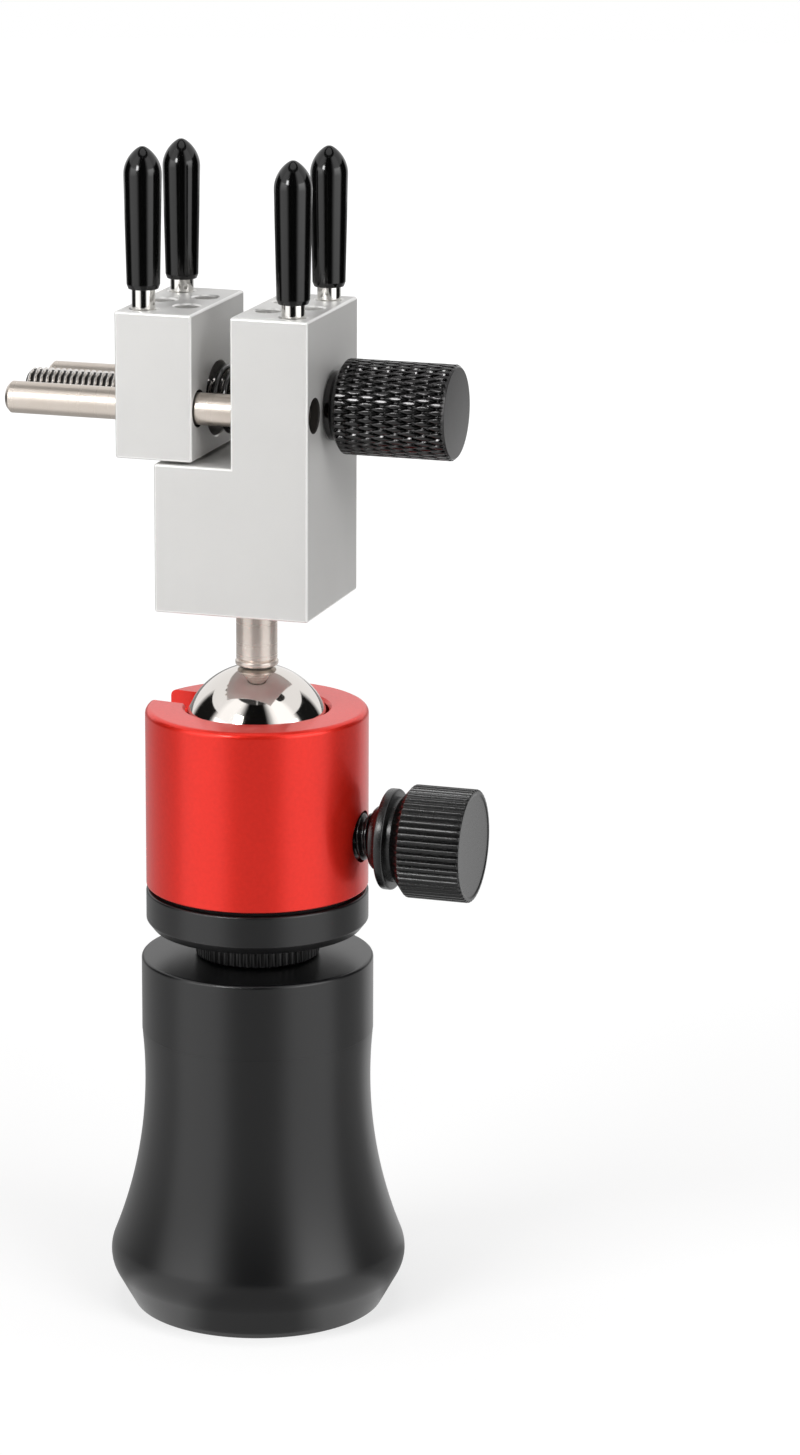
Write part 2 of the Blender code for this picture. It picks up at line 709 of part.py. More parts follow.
def build_stem(vise):
    """Stem from the ball into the jaw block."""
    cone_top = STEM_SEAT + STEM_COLLAR_CONE
    collar_top = cone_top + STEM_COLLAR_LAND
    foot = STEM_SEAT - STEM_PIN_LENGTH
    top = BLOCK_BOTTOM + STEM_DEPTH_IN_JAW
    outline = [
        (0, top),
        (STEM_RADIUS, top),
        (STEM_RADIUS, collar_top + 2 * STEM_GROOVE_DEPTH),
        (STEM_RADIUS - STEM_GROOVE_DEPTH, collar_top + STEM_GROOVE_DEPTH),
        (STEM_COLLAR_RADIUS, collar_top),
        (STEM_COLLAR_RADIUS, cone_top),
        (STEM_PIN_RADIUS, STEM_SEAT),
        (STEM_PIN_RADIUS, foot),
        (0, foot),
    ]
    settled(turned("ball_stem", outline, SMALL_SEGMENTS, PARTS, NICKEL_STEEL, parent=vise))


def pin_places(outer_x, inner_x):
    """Centres of the five pin holes in a jaw's top."""
    outer = [(outer_x, y) for y in (-PIN_ROW_Y, 0, PIN_ROW_Y)]
    inner = [(inner_x, y) for y in (-PIN_INNER_Y, PIN_INNER_Y)]
    return outer + inner


def cut_pin_holes(jaw, places):
    """Drill the blind pin holes in a jaw's top."""
    for number, (x, y) in enumerate(places):
        hole = cylinder(
            f"{jaw.name}_pin_hole_{number}",
            PIN_RADIUS + TURN_GAP,
            BLOCK_TOP - PIN_HOLE_DEPTH,
            BLOCK_TOP + CUT_OVERRUN,
            HOLE_SEGMENTS,
            CUTTERS,
            location=(x, y, 0),
        )
        cut(jaw, hole)


def cut_along_x(jaw, name, radius, low_x, high_x, y=0):
    """Bore a jaw along X at the rods' level."""
    bore = cylinder(
        f"{jaw.name}_{name}",
        radius,
        low_x,
        high_x,
        SMALL_SEGMENTS,
        CUTTERS,
        location=(0, y, ROD_LEVEL),
        rotation=AXIS_X_TURN,
    )
    cut(jaw, bore)


def cut_rod_bores(jaw, low_x, high_x):
    """Bore both rod holes and the screw hole through a jaw."""
    for side in (-1, 1):
        name = "front_rod_bore" if side < 0 else "back_rod_bore"
        cut_along_x(jaw, name, ROD_RADIUS + TURN_GAP, low_x, high_x, side * ROD_Y)
    cut_along_x(jaw, "screw_bore", SCREW_RADIUS + SEAT_GAP, low_x, high_x)


def build_fixed_jaw(vise):
    """L-shaped block: a square foot with one upright jaw."""
    jaw = box(
        "fixed_jaw",
        (-BLOCK_WIDTH / 2, -HALF_DEPTH, BLOCK_BOTTOM),
        (BLOCK_RIGHT_X, HALF_DEPTH, BLOCK_TOP),
        PARTS,
        SATIN_ALUMINIUM,
        parent=vise,
    )
    notch = box(
        "notch",
        (-BLOCK_WIDTH / 2 - CUT_OVERRUN, -HALF_DEPTH - CUT_OVERRUN, LEDGE_LEVEL),
        (FIXED_FACE_X, HALF_DEPTH + CUT_OVERRUN, BLOCK_TOP + CUT_OVERRUN),
        CUTTERS,
    )
    cut(jaw, notch)
    bevelled(jaw, JAW_BEVEL)
    cut_pin_holes(jaw, pin_places(RIGHT_PIN_X, FIXED_FACE_X + PIN_HOLE_INSET))
    cut_rod_bores(jaw, FIXED_FACE_X - CUT_OVERRUN, BLOCK_RIGHT_X + CUT_OVERRUN)
    cut_along_x(
        jaw,
        "spring_seat",
        SPRING_POCKET_RADIUS,
        FIXED_FACE_X - CUT_OVERRUN,
        FIXED_FACE_X + SPRING_SEAT_DEPTH,
    )
    stem_hole = cylinder(
        "stem_hole_in_jaw",
        STEM_RADIUS + SEAT_GAP,
        BLOCK_BOTTOM - CUT_OVERRUN,
        BLOCK_BOTTOM + STEM_DEPTH_IN_JAW + SEAT_GAP,
        SMALL_SEGMENTS,
        CUTTERS,
    )
    cut(jaw, stem_hole)
    settled(jaw)


def build_moving_jaw(slide):
    """Loose jaw block on the rods, with a pocket that takes the spring as the jaws close."""
    left = MOVING_FACE_X - JAW_THICKNESS
    jaw = box(
        "moving_jaw",
        (left, -HALF_DEPTH, MOVING_BOTTOM),
        (MOVING_FACE_X, HALF_DEPTH, BLOCK_TOP),
        PARTS,
        SATIN_ALUMINIUM,
        parent=slide,
    )
    bevelled(jaw, JAW_BEVEL)
    cut_pin_holes(jaw, pin_places(LEFT_PIN_X, MOVING_FACE_X - PIN_HOLE_INSET))
    cut_rod_bores(jaw, left - CUT_OVERRUN, MOVING_FACE_X + CUT_OVERRUN)
    cut_along_x(
        jaw,
        "spring_pocket",
        SPRING_POCKET_RADIUS,
        MOVING_FACE_X - JAW_GAP,
        MOVING_FACE_X + CUT_OVERRUN,
    )
    settled(jaw)


def bar_outline(radius, low, high, chamfer):
    """A round bar's outline with chamfered ends."""
    return [
        (0, high),
        (radius - chamfer, high),
        (radius, high - chamfer),
        (radius, low + chamfer),
        (radius - chamfer, low),
        (0, low),
    ]


def build_rods(vise):
    """Two guide rods, held in the fixed jaw."""
    right = BLOCK_RIGHT_X - ROD_RECESS
    outline = bar_outline(ROD_RADIUS, ROD_LEFT_X, right, ROD_CHAMFER)
    for name, side in (("guide_rod_front", -1), ("guide_rod_back", 1)):
        rod = turned(
            name,
            outline,
            SMALL_SEGMENTS,
            PARTS,
            NICKEL_STEEL,
            parent=vise,
            location=(0, side * ROD_Y, ROD_LEVEL),
            rotation=AXIS_X_TURN,
        )
        settled(rod)


def build_screw(turn):
    """Drive screw and its knob."""
    on_axis = {"location": (0, 0, ROD_LEVEL), "rotation": AXIS_X_TURN}
    knob_start = BLOCK_RIGHT_X + TURN_GAP
    screw_end = knob_start + KNOB_BORE_DEPTH - SEAT_GAP
    outline = bar_outline(SCREW_RADIUS, ROD_LEFT_X, screw_end, SCREW_CHAMFER)
    screw = turned("drive_screw", outline, SMALL_SEGMENTS, PARTS, NICKEL_STEEL, parent=turn, **on_axis)
    settled(screw)
    face = knob_start + KNOB_LENGTH
    chamfer_start = knob_start + KNOB_NECK_LENGTH
    bore = SCREW_RADIUS + SEAT_GAP
    bore_end = knob_start + KNOB_BORE_DEPTH
    outline = [
        (0, face),
        (KNOB_RADIUS - KNOB_FACE_BEVEL, face),
        (KNOB_RADIUS, face - KNOB_FACE_BEVEL),
        (KNOB_RADIUS, chamfer_start + KNOB_CHAMFER_LENGTH),
        (KNOB_NECK_RADIUS, chamfer_start),
        (KNOB_NECK_RADIUS, knob_start),
        (bore, knob_start),
        (bore, bore_end),
        (0, bore_end),
    ]
    knob = turned("screw_knob", outline, MEDIUM_SEGMENTS, PARTS, BLACK_SATIN, parent=turn, **on_axis)
    settled(knob)


def build_spring(vise):
    """Coil spring from its seat in the fixed jaw to the moving jaw."""
    start = FIXED_FACE_X + SPRING_SEAT_DEPTH - SEAT_GAP - SPRING_WIRE_RADIUS
    end = MOVING_FACE_X + SEAT_GAP + SPRING_WIRE_RADIUS
    mean_radius = SPRING_OUTER_RADIUS - SPRING_WIRE_RADIUS
    turns = (start - end) / SPRING_PITCH
    count = round(turns * CURL_POINTS)
    route = []
    for i in range(count + 1):
        angle = 2 * math.pi * turns * i / count
        along = start + (end - start) * i / count
        route.append(Vector((along, mean_radius * math.cos(angle), mean_radius * math.sin(angle))))
    curve = bpy.data.curves.new("jaw_spring", "CURVE")
    curve.dimensions = "3D"
    curve.bevel_depth = SPRING_WIRE_RADIUS
    curve.bevel_resolution = 1
    curve.use_fill_caps = True
    spline = curve.splines.new("POLY")
    spline.points.add(len(route) - 1)
    for point, spot in zip(spline.points, route):
        point.co = (*spot, 1)
    spring = bpy.data.objects.new("jaw_spring", curve)
    place(spring, PARTS, BLACK_SPRING_STEEL, location=(0, 0, ROD_LEVEL), parent=vise)
    print("jaw_spring: least gap between its turns, in metres:", least_gap(route, SPRING_WIRE_RADIUS))


def least_gap(route, wire_radius):
    """Smallest clear distance between neighbouring turns of a coil."""
    half_turn = CURL_POINTS // 2
    least = math.inf
    for i, here in enumerate(route):
        for there in route[i + half_turn :]:
            least = min(least, (here - there).length - 2 * wire_radius)
    return least


def build_pin(name, x, y, standoff, pin_parent):
    """One steel pin in its hole, with its sleeve."""
    pin = turned(
        f"pin_{name}",
        bar_outline(PIN_RADIUS, PIN_BOTTOM, PIN_TOP, PIN_CHAMFER),
        HOLE_SEGMENTS,
        PARTS,
        NICKEL_STEEL,
        parent=pin_parent,
        location=(x, y, 0),
    )
    settled(pin)
    mouth = BLOCK_TOP + standoff
    tip = mouth + CAP_LENGTH
    shoulder = tip - CAP_NOSE_LENGTH
    nose = []
    for i in range(NOSE_STEPS + 1):
        angle = math.radians(90) * i / NOSE_STEPS
        radius = CAP_NOSE_TIP_RADIUS + (CAP_TOP_RADIUS - CAP_NOSE_TIP_RADIUS) * math.sin(angle)
        nose.append((radius, shoulder + CAP_NOSE_LENGTH * math.cos(angle)))
    bore = PIN_RADIUS + TURN_GAP
    outline = [
        (0, tip),
        *nose,
        (CAP_MOUTH_RADIUS, mouth + CAP_MOUTH_ROUND),
        ((CAP_MOUTH_RADIUS + bore) / 2, mouth),
        (bore, mouth),
        (bore, mouth + CAP_BORE_DEPTH),
        (0, mouth + CAP_BORE_DEPTH),
    ]
    cap = turned(
        f"cap_{name}", outline, HOLE_SEGMENTS, PARTS, BLACK_PLASTIC, parent=pin_parent, location=(x, y, 0)
    )
    settled(cap)


def build_pins(vise, slide):
    """Four pins: the end holes of both jaws' outer rows."""
    for side, x, carrier in (("left", LEFT_PIN_X, slide), ("right", RIGHT_PIN_X, vise)):
        for row, y in (("front", -PIN_ROW_Y), ("back", PIN_ROW_Y)):
            name = f"{side}_{row}"
            standoff = RAISED_CAP_STANDOFF if name == "left_front" else CAP_STANDOFF
            lift = pivot(f"{name}_lift", (x, y, BLOCK_TOP), carrier)
            build_pin(name, x, y, standoff, lift)


def build():
    """Make every piece, each under the joint that carries it."""
    head = pivot("head_pan", (0, 0, PLATE_BOTTOM))
    travel = pivot("clamp_travel", (HOUSING_RADIUS, 0, CLAMP_LEVEL), head)
    turn = pivot("clamp_turn", (HOUSING_RADIUS, 0, CLAMP_LEVEL), travel)
    ball = pivot("ball_tilt", (0, 0, BALL_LEVEL), head)
    vise = pivot("vise_swivel", (0, 0, BALL_LEVEL), ball)
    slide = pivot("jaw_slide", (MOVING_FACE_X, 0, ROD_LEVEL), vise)
    screw = pivot("screw_turn", (BLOCK_RIGHT_X, 0, ROD_LEVEL), vise)
    build_foot()
    build_lock_ring()
    build_head(head)
    build_seat(head)
    build_clamp(travel, turn)
    build_ball(ball)
    build_stem(vise)
    build_fixed_jaw(vise)
    build_moving_jaw(slide)
    build_rods(vise)
    build_screw(screw)
    build_spring(vise)
    build_pins(vise, slide)


build()
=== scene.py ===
"""Finished look of a mini bench vise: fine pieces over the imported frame, finishes, studio and camera.

Metres, +Z up. The origin is the middle of the foot's underside, the vise's rods run along X,
and its front faces -Y. Each sub-assembly is a class that builds and dresses its own pieces.
"""

import json
import logging
import math
from collections.abc import Callable
from dataclasses import dataclass
from enum import Enum

import bmesh
import bpy
import numpy as np
from bpy.types import Material, MeshPolygon, Node, NodeSocket, NodeTree, Object
from mathutils import Matrix, Vector

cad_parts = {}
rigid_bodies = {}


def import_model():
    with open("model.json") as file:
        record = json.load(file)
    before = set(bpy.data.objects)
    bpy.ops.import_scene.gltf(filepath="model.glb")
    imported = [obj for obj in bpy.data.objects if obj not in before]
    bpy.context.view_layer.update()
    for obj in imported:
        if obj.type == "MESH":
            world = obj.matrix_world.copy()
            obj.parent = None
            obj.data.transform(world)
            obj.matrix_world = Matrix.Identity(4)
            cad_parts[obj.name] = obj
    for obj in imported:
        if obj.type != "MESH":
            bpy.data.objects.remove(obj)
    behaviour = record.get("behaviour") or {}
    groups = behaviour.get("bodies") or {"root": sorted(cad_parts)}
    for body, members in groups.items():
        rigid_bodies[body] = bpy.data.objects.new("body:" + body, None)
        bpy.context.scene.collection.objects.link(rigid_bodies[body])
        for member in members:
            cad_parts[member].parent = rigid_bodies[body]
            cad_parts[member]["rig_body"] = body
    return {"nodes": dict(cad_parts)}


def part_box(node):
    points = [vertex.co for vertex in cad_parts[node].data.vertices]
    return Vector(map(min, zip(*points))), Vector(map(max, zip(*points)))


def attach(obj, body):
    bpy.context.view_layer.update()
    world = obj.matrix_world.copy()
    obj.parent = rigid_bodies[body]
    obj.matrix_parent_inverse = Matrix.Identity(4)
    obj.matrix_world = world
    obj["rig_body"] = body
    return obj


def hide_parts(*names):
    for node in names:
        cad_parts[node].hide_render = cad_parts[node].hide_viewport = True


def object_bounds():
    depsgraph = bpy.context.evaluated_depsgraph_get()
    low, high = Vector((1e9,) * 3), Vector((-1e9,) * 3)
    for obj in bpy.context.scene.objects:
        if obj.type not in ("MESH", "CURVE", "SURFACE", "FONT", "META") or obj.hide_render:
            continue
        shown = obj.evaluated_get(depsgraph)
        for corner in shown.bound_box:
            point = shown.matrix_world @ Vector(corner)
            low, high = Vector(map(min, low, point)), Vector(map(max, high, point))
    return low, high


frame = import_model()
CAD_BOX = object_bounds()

LOG = logging.getLogger("mini_bench_vise")
MM = 0.001
FULL_TURN = 2 * math.pi
WHITE = "#FFFFFF"

# Running clearances, and how far a cutter runs past the face that it cuts
SEAT_GAP = 0.3 * MM
TURN_GAP = 0.2 * MM
OVERRUN = 1.0 * MM

# Points round a turned piece, steps of roundings, rows of points in one turn of a thread, and
# the angle from which an edge stays sharp
FINE_COLUMNS = 128
SMALL_COLUMNS = 64
ROUND_STEPS = 5
SOFTEN_STEPS = 2
THREAD_ROWS = 10
CREASE_DEG = 35.0


class Slot(Enum):
    """The record's material slots."""

    FOOT = "black_foot"
    ANODISED = "black_anodised"
    BLACK_STEEL = "black_steel"
    RED = "red_anodised"
    SATIN = "satin_aluminium"
    NICKEL = "nickel_steel"
    CHROME = "chrome"
    BRASS = "brass"
    RUBBER = "black_rubber"
    SLEEVE = "black_sleeve"
    ACETAL = "grey_acetal"


class Direction(Enum):
    """Way that a turned piece's axis points, as the rotation that brings +Z there."""

    UP = (0.0, 0.0, 0.0)
    DOWN = (math.pi, 0.0, 0.0)
    RIGHT = (0.0, math.pi / 2, 0.0)


def linear(colour: str) -> tuple[float, float, float, float]:
    """Turn an sRGB hex colour to the linear one that a shader takes.

    Args:
        colour: Hex colour, such as "#D9D8D6".

    Returns:
        Linear red, green, blue and an alpha of 1.
    """
    channels = [int(colour[i : i + 2], 16) / 255 for i in (1, 3, 5)]
    bent = [c / 12.92 if c <= 0.04045 else ((c + 0.055) / 1.055) ** 2.4 for c in channels]
    return (*bent, 1.0)


def add_node(tree: NodeTree, kind: str, settings: dict | None = None, links: dict | None = None) -> Node:
    """Add a shader node with its settings and what feeds it.

    Args:
        tree: Node tree that takes the node.
        kind: Blender's name of the node type, less its leading ShaderNode.
        settings: Values by property name, or by input name or number.
        links: Output sockets by the input name or number that they feed.

    Returns:
        The new node.
    """
    node = tree.nodes.new(f"ShaderNode{kind}")
    for name, value in (settings or {}).items():
        if isinstance(name, str) and hasattr(node, name):
            setattr(node, name, value)
        else:
            node.inputs[name].default_value = value
    for name, socket in (links or {}).items():
        tree.links.new(socket, node.inputs[name])
    return node


def blank_tree(owner: Material | bpy.types.World) -> NodeTree:
    """Switch on the shader nodes of a material or world.

    Args:
        owner: The material or world.

    Returns:
        Its node tree, emptied.
    """
    owner.use_nodes = True
    owner.node_tree.nodes.clear()
    return owner.node_tree


@dataclass(frozen=True)
class Finish:
    """A surface finish: its colours, its shine, and the fine pattern that its making leaves.

    The pattern runs from 0 to 1. It lifts the surface by relief and moves the roughness by
    spread either way, and patches of a broader noise turn colour towards shade. spacing and
    patch are how wide the two are, and octaves, grit and patch_octaves how much they break up.
    """

    name: str
    slot: Slot
    colour: str
    shade: str
    metallic: float
    roughness: float
    spread: float
    spacing: float
    relief: float
    patch: float = 6 * MM
    coat: float = 0.0
    ior: float = 1.5
    octaves: float = 2.0
    grit: float = 0.6
    patch_octaves: float = 3.0

    def pattern(self, tree: NodeTree, place: NodeSocket) -> NodeSocket:
        """Give the fine pattern's socket, here an even grain that is as wide as spacing."""
        settings = {"Scale": 1 / self.spacing, "Detail": self.octaves, "Roughness": self.grit}
        return add_node(tree, "TexNoise", settings, {"Vector": place}).outputs[0]

    def material(self) -> Material:
        """Make the finish's material, or give the one made before.

        Returns:
            The material, named for the finish.
        """
        if self.name in bpy.data.materials:
            return bpy.data.materials[self.name]
        material = bpy.data.materials.new(self.name)
        tree = blank_tree(material)
        place = add_node(tree, "TexCoord").outputs["Object"]
        fine = self.pattern(tree, place)
        patches = {"Scale": 1 / self.patch, "Detail": self.patch_octaves}
        broad = add_node(tree, "TexNoise", patches, {"Vector": place})
        # A mix node's two colours are its inputs 6 and 7, and the mixed one its output 2
        blend = {"data_type": "RGBA", 6: linear(self.colour), 7: linear(self.shade)}
        colour = add_node(tree, "Mix", blend, {0: broad.outputs[0]})
        limits = {"To Min": self.roughness - self.spread, "To Max": self.roughness + self.spread}
        roughness = add_node(tree, "MapRange", limits, {"Value": fine})
        bump = add_node(tree, "Bump", {"Distance": self.relief}, {"Height": fine})
        shader = add_node(
            tree,
            "BsdfPrincipled",
            {"Metallic": self.metallic, "Coat Weight": self.coat, "IOR": self.ior},
            {"Base Color": colour.outputs[2], "Roughness": roughness.outputs[0], "Normal": bump.outputs[0]},
        )
        add_node(tree, "OutputMaterial", {}, {"Surface": shader.outputs[0]})
        return material


@dataclass(frozen=True)
class TurnedFinish(Finish):
    """A finish cut or ground on a lathe: fine rings round the piece's own axis."""

    def pattern(self, tree: NodeTree, place: NodeSocket) -> NodeSocket:
        """Give rings of uneven depth along the axis, as far apart as spacing.

        Args:
            tree: Node tree of the material.
            place: The piece's own coordinates.

        Returns:
            The pattern's socket.
        """
        height = add_node(tree, "SeparateXYZ", {}, {0: place}).outputs[2]
        settings = {"noise_dimensions": "1D", "Scale": 1 / self.spacing, "Detail": self.octaves}
        return add_node(tree, "TexNoise", settings, {"W": height}).outputs[0]


# Turned aluminium, blasted and dyed black: an even satin black with wide soft lights. The hard
# oxide skin has an IOR of about 1.6. The grain is about 0.05 mm, drawn 0.18 mm so that it shows.
FOOT_BLACK = Finish(
    "blasted_black_anodised_aluminium", Slot.FOOT, "#070708", "#0A0A0B",
    0.0, 0.3, 0.03, 0.18 * MM, 0.003 * MM, ior=1.6,
)
# Turned aluminium dyed black: fine rings, a little more shine than the blasted foot.
# Feed marks of about 0.05 mm are drawn 0.15 mm apart.
PLATE_BLACK = TurnedFinish(
    "turned_black_anodised_aluminium", Slot.ANODISED, "#080809", "#0C0C0D",
    0.0, 0.32, 0.05, 0.15 * MM, 0.003 * MM, ior=1.6,
)
# The knurled knob under black nickel plate: a dark metal, with glints on every crest.
KNURL_BLACK = Finish(
    "black_nickel_plated_steel", Slot.BLACK_STEEL, "#434343", "#383737",
    1.0, 0.14, 0.04, 0.25 * MM, 0.001 * MM,
)
# The same knob's end, faced smooth before plating: the same dark metal, evener, and painted lighter for the
# light that its face catches.
KNOB_END_PAINTED_LIGHT = Finish(
    "painted_light_black_nickel_end", Slot.BLACK_STEEL, "#7A7979", "#727171",
    1.0, 0.2, 0.04, 0.25 * MM, 0.001 * MM,
)
# The lock knob and its screw, blackened and oiled: dark, with soft lights on the ribs.
KNOB_BLACK = Finish(
    "black_oxide_steel", Slot.BLACK_STEEL, "#060606", "#0B0B0B",
    0.0, 0.28, 0.03, 0.25 * MM, 0.001 * MM, ior=1.6,
)
# Blackened spring wire, drawn through a die: dark metal, smooth, with hard glints.
WIRE_BLACK = Finish(
    "blackened_spring_wire", Slot.BLACK_STEEL, "#646464", "#4E4E4E",
    1.0, 0.12, 0.04, 0.3 * MM, 0.002 * MM,
)
# Blasted aluminium under clear red dye: metal that shines through its colour, with soft lights.
HOUSING_RED = Finish(
    "red_anodised_aluminium", Slot.RED, "#F42E20", "#E42618",
    0.56, 0.33, 0.05, 0.2 * MM, 0.006 * MM, 0.5 * MM, coat=0.25,
)
# Milled blocks, blasted and clear anodised: pale matt grey, even on every face.
JAW_SATIN = Finish(
    "blasted_satin_aluminium", Slot.SATIN, "#DBDAD8", "#D6D5D3",
    0.45, 0.46, 0.04, 0.2 * MM, 0.004 * MM,
)
# The blocks' broken edges: a paler colour painted on as a highlight, and smoother than the blasted faces.
JAW_EDGE_HIGHLIGHT = Finish(
    "painted_highlight_aluminium_edge", Slot.SATIN, "#F4F3F1", "#ECEBE9",
    0.4, 0.3, 0.05, 0.3 * MM, 0.003 * MM,
)
# The blocks' reamed holes, cut after the blasting: bare pale metal with fine rings.
BORE_BRIGHT = TurnedFinish(
    "reamed_bare_aluminium", Slot.SATIN, "#F2F1EF", "#E6E5E3",
    0.7, 0.3, 0.06, 0.15 * MM, 0.003 * MM,
)
# Ground steel with a satin nickel plate: warm white metal, with ground rings round its axis.
# Ground lines of about 0.02 mm are drawn 0.12 mm apart.
NICKEL = TurnedFinish(
    "nickel_plated_steel", Slot.NICKEL, "#D8CFC6", "#C9BEB3",
    1.0, 0.3, 0.06, 0.12 * MM, 0.001 * MM,
)
# The stem under the same plate, left as turned: softer bands, a little duller.
STEM_NICKEL = TurnedFinish(
    "turned_nickel_plated_steel", Slot.NICKEL, "#E8E0D8", "#D6CCC2",
    0.6, 0.26, 0.04, 0.5 * MM, 0.0006 * MM,
)
# The drive screw's rolled thread, bright plated: hard light and dark on every flank.
THREAD_NICKEL = Finish(
    "rolled_nickel_thread", Slot.NICKEL, "#E2DEDA", "#D4CFCA",
    1.0, 0.14, 0.04, 0.4 * MM, 0.0005 * MM,
)
# Hardened steel pins, ground and polished: cool white metal with hard dark and light bands.
PIN_STEEL = TurnedFinish(
    "polished_pin_steel", Slot.NICKEL, "#ECEAE6", "#E2E0DC",
    1.0, 0.1, 0.03, 0.12 * MM, 0.0005 * MM,
)
# Painted shade: a dull dark colour on the rods' free ends, the screw's ends and thread roots, and the walls
# of the rods' bores.
PAINTED_SHADE = Finish(
    "painted_shade_dark_steel", Slot.BLACK_STEEL, "#2A2826", "#1E1C1B",
    0.3, 0.5, 0.08, 0.3 * MM, 0.006 * MM,
)
# Polished steel with bright chrome: a clean mirror, very slightly wavy from the wheel.
CHROME = Finish("polished_chrome", Slot.CHROME, "#E6E1DC", "#DDD8D3", 1.0, 0.07, 0.03, 1.2 * MM, 0.0012 * MM)
# Turned brass, left bare: yellow metal with fine rings.
BRASS = TurnedFinish("turned_brass", Slot.BRASS, "#D9B56A", "#C9A45A", 1.0, 0.28, 0.06, 0.12 * MM, 0.002 * MM)
# Moulded rubber sheet: dull black with a dusty, uneven face.
RUBBER = Finish("moulded_rubber", Slot.RUBBER, "#141414", "#1B1B1B", 0.0, 0.8, 0.08, 0.5 * MM, 0.02 * MM)
# Dip-moulded soft vinyl: deep gloss black, slightly wavy from the dip.
SLEEVE_VINYL = Finish(
    "dipped_black_vinyl", Slot.SLEEVE, "#040404", "#070707",
    0.0, 0.12, 0.03, 1.4 * MM, 0.006 * MM,
)
# Moulded acetal, dull grey.
ACETAL = Finish("moulded_acetal", Slot.ACETAL, "#858585", "#7B7B7B", 0.0, 0.5, 0.05, 0.6 * MM, 0.01 * MM)


@dataclass(frozen=True)
class Corner:
    """One corner of a turned outline: its radius, its height, and how far it is rounded."""

    radius: float
    height: float
    rounding: float = 0.0


def heading(azimuth_deg: float, elevation_deg: float) -> Vector:
    """Give a direction.

    Args:
        azimuth_deg: Angle from the front to the right.
        elevation_deg: Angle above the floor.

    Returns:
        A vector of length 1.
    """
    azimuth, elevation = math.radians(azimuth_deg), math.radians(elevation_deg)
    level = math.cos(elevation)
    return Vector((math.sin(azimuth) * level, -math.cos(azimuth) * level, math.sin(elevation)))


def centre_of(node: str) -> tuple[float, ...]:
    """Give the x, y and z of the middle of a node's box."""
    return tuple((low + high) / 2 for low, high in zip(*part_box(node)))


def arc(centre: Corner, radius: float, start_deg: float, end_deg: float, steps: int) -> list[Corner]:
    """Draw an arc as corners.

    Args:
        centre: Middle of the arc.
        radius: Radius of the arc.
        start_deg: Angle of the first point, from the outward direction towards the top.
        end_deg: Angle of the last point.
        steps: Number of straight steps.

    Returns:
        The arc's points, ends included.
    """
    angles = np.radians(np.linspace(start_deg, end_deg, steps + 1))
    spots = [(radius * math.cos(angle), radius * math.sin(angle)) for angle in angles]
    return [Corner(centre.radius + out, centre.height + up) for out, up in spots]


def rounded(corners: list[Corner]) -> list[Vector]:
    """Draw an outline's corners with their roundings.

    Args:
        corners: The outline, in order. It is closed where it starts off the axis.

    Returns:
        Points of (radius, height).
    """
    points = []
    for i, corner in enumerate(corners):
        here = Vector((corner.radius, corner.height))
        if corner.rounding == 0:
            points.append(here)
            continue
        before, after = corners[i - 1], corners[(i + 1) % len(corners)]
        back = (Vector((before.radius, before.height)) - here).normalized()
        ahead = (Vector((after.radius, after.height)) - here).normalized()
        half = back.angle(ahead) / 2
        middle = here + (back + ahead).normalized() * (corner.rounding / math.sin(half))
        start = here + back * (corner.rounding / math.tan(half)) - middle
        swing = math.copysign(math.pi - 2 * half, back.cross(ahead))
        for step in range(ROUND_STEPS + 1):
            points.append(middle + Matrix.Rotation(-swing * step / ROUND_STEPS, 2) @ start)
    return points


@dataclass(frozen=True)
class Relief:
    """A pattern cut into a turned blank between two heights.

    outer is the blank's radius there, depth the deepest cut, and step the spacing of the rows
    of points along the axis. The pattern has count copies round the piece, and each copy
    takes points columns of the mesh.
    """

    low: float
    high: float
    outer: float
    depth: float
    step: float = 1.0 * MM
    count: int = 1
    points: int = SMALL_COLUMNS

    @property
    def columns(self) -> int:
        """Number of points round the piece."""
        return self.count * self.points

    def share(self, height: np.ndarray, turn: np.ndarray) -> np.ndarray:
        """Give the share of the depth that is cut at each height and angle."""
        raise NotImplementedError

    def carve(self, radius: np.ndarray, height: np.ndarray, turn: np.ndarray) -> np.ndarray:
        """Cut the blank's radii down to the pattern.

        Args:
            radius: Radii of the blank's points.
            height: Their heights.
            turn: Their angles.

        Returns:
            The radii after the cut.
        """
        envelope = self.outer - self.depth * self.share(height, turn)
        inside = (height > self.low) & (height < self.high)
        return np.where(inside, np.minimum(radius, envelope), radius)

    def refined(self, points: list[Vector]) -> list[Vector]:
        """Add rows of points wherever the outline runs through the pattern.

        Args:
            points: The outline's points.

        Returns:
            The outline with its long steps split.
        """
        dense = [points[0]]
        for before, after in zip(points, points[1:]):
            crosses = min(before.y, after.y) < self.high and max(before.y, after.y) > self.low
            outside = min(before.x, after.x) > self.outer / 2
            count = math.ceil((after - before).length / self.step) if crosses and outside else 1
            dense += [before.lerp(after, (i + 1) / count) for i in range(count)]
        return dense


def crest_distance(phase: np.ndarray) -> np.ndarray:
    """Give 0 at each whole phase and 1 midway between two."""
    return 2 * np.abs(phase - np.round(phase))


@dataclass(frozen=True)
class Ribs(Relief):
    """Straight ribs along the axis, wide and rounded, with narrow grooves between them."""

    points: int = 12
    narrowing: float = 2.5

    def share(self, height: np.ndarray, turn: np.ndarray) -> np.ndarray:
        """Give a smooth wave round the piece."""
        return (0.5 + 0.5 * np.cos(turn * self.count)) ** self.narrowing


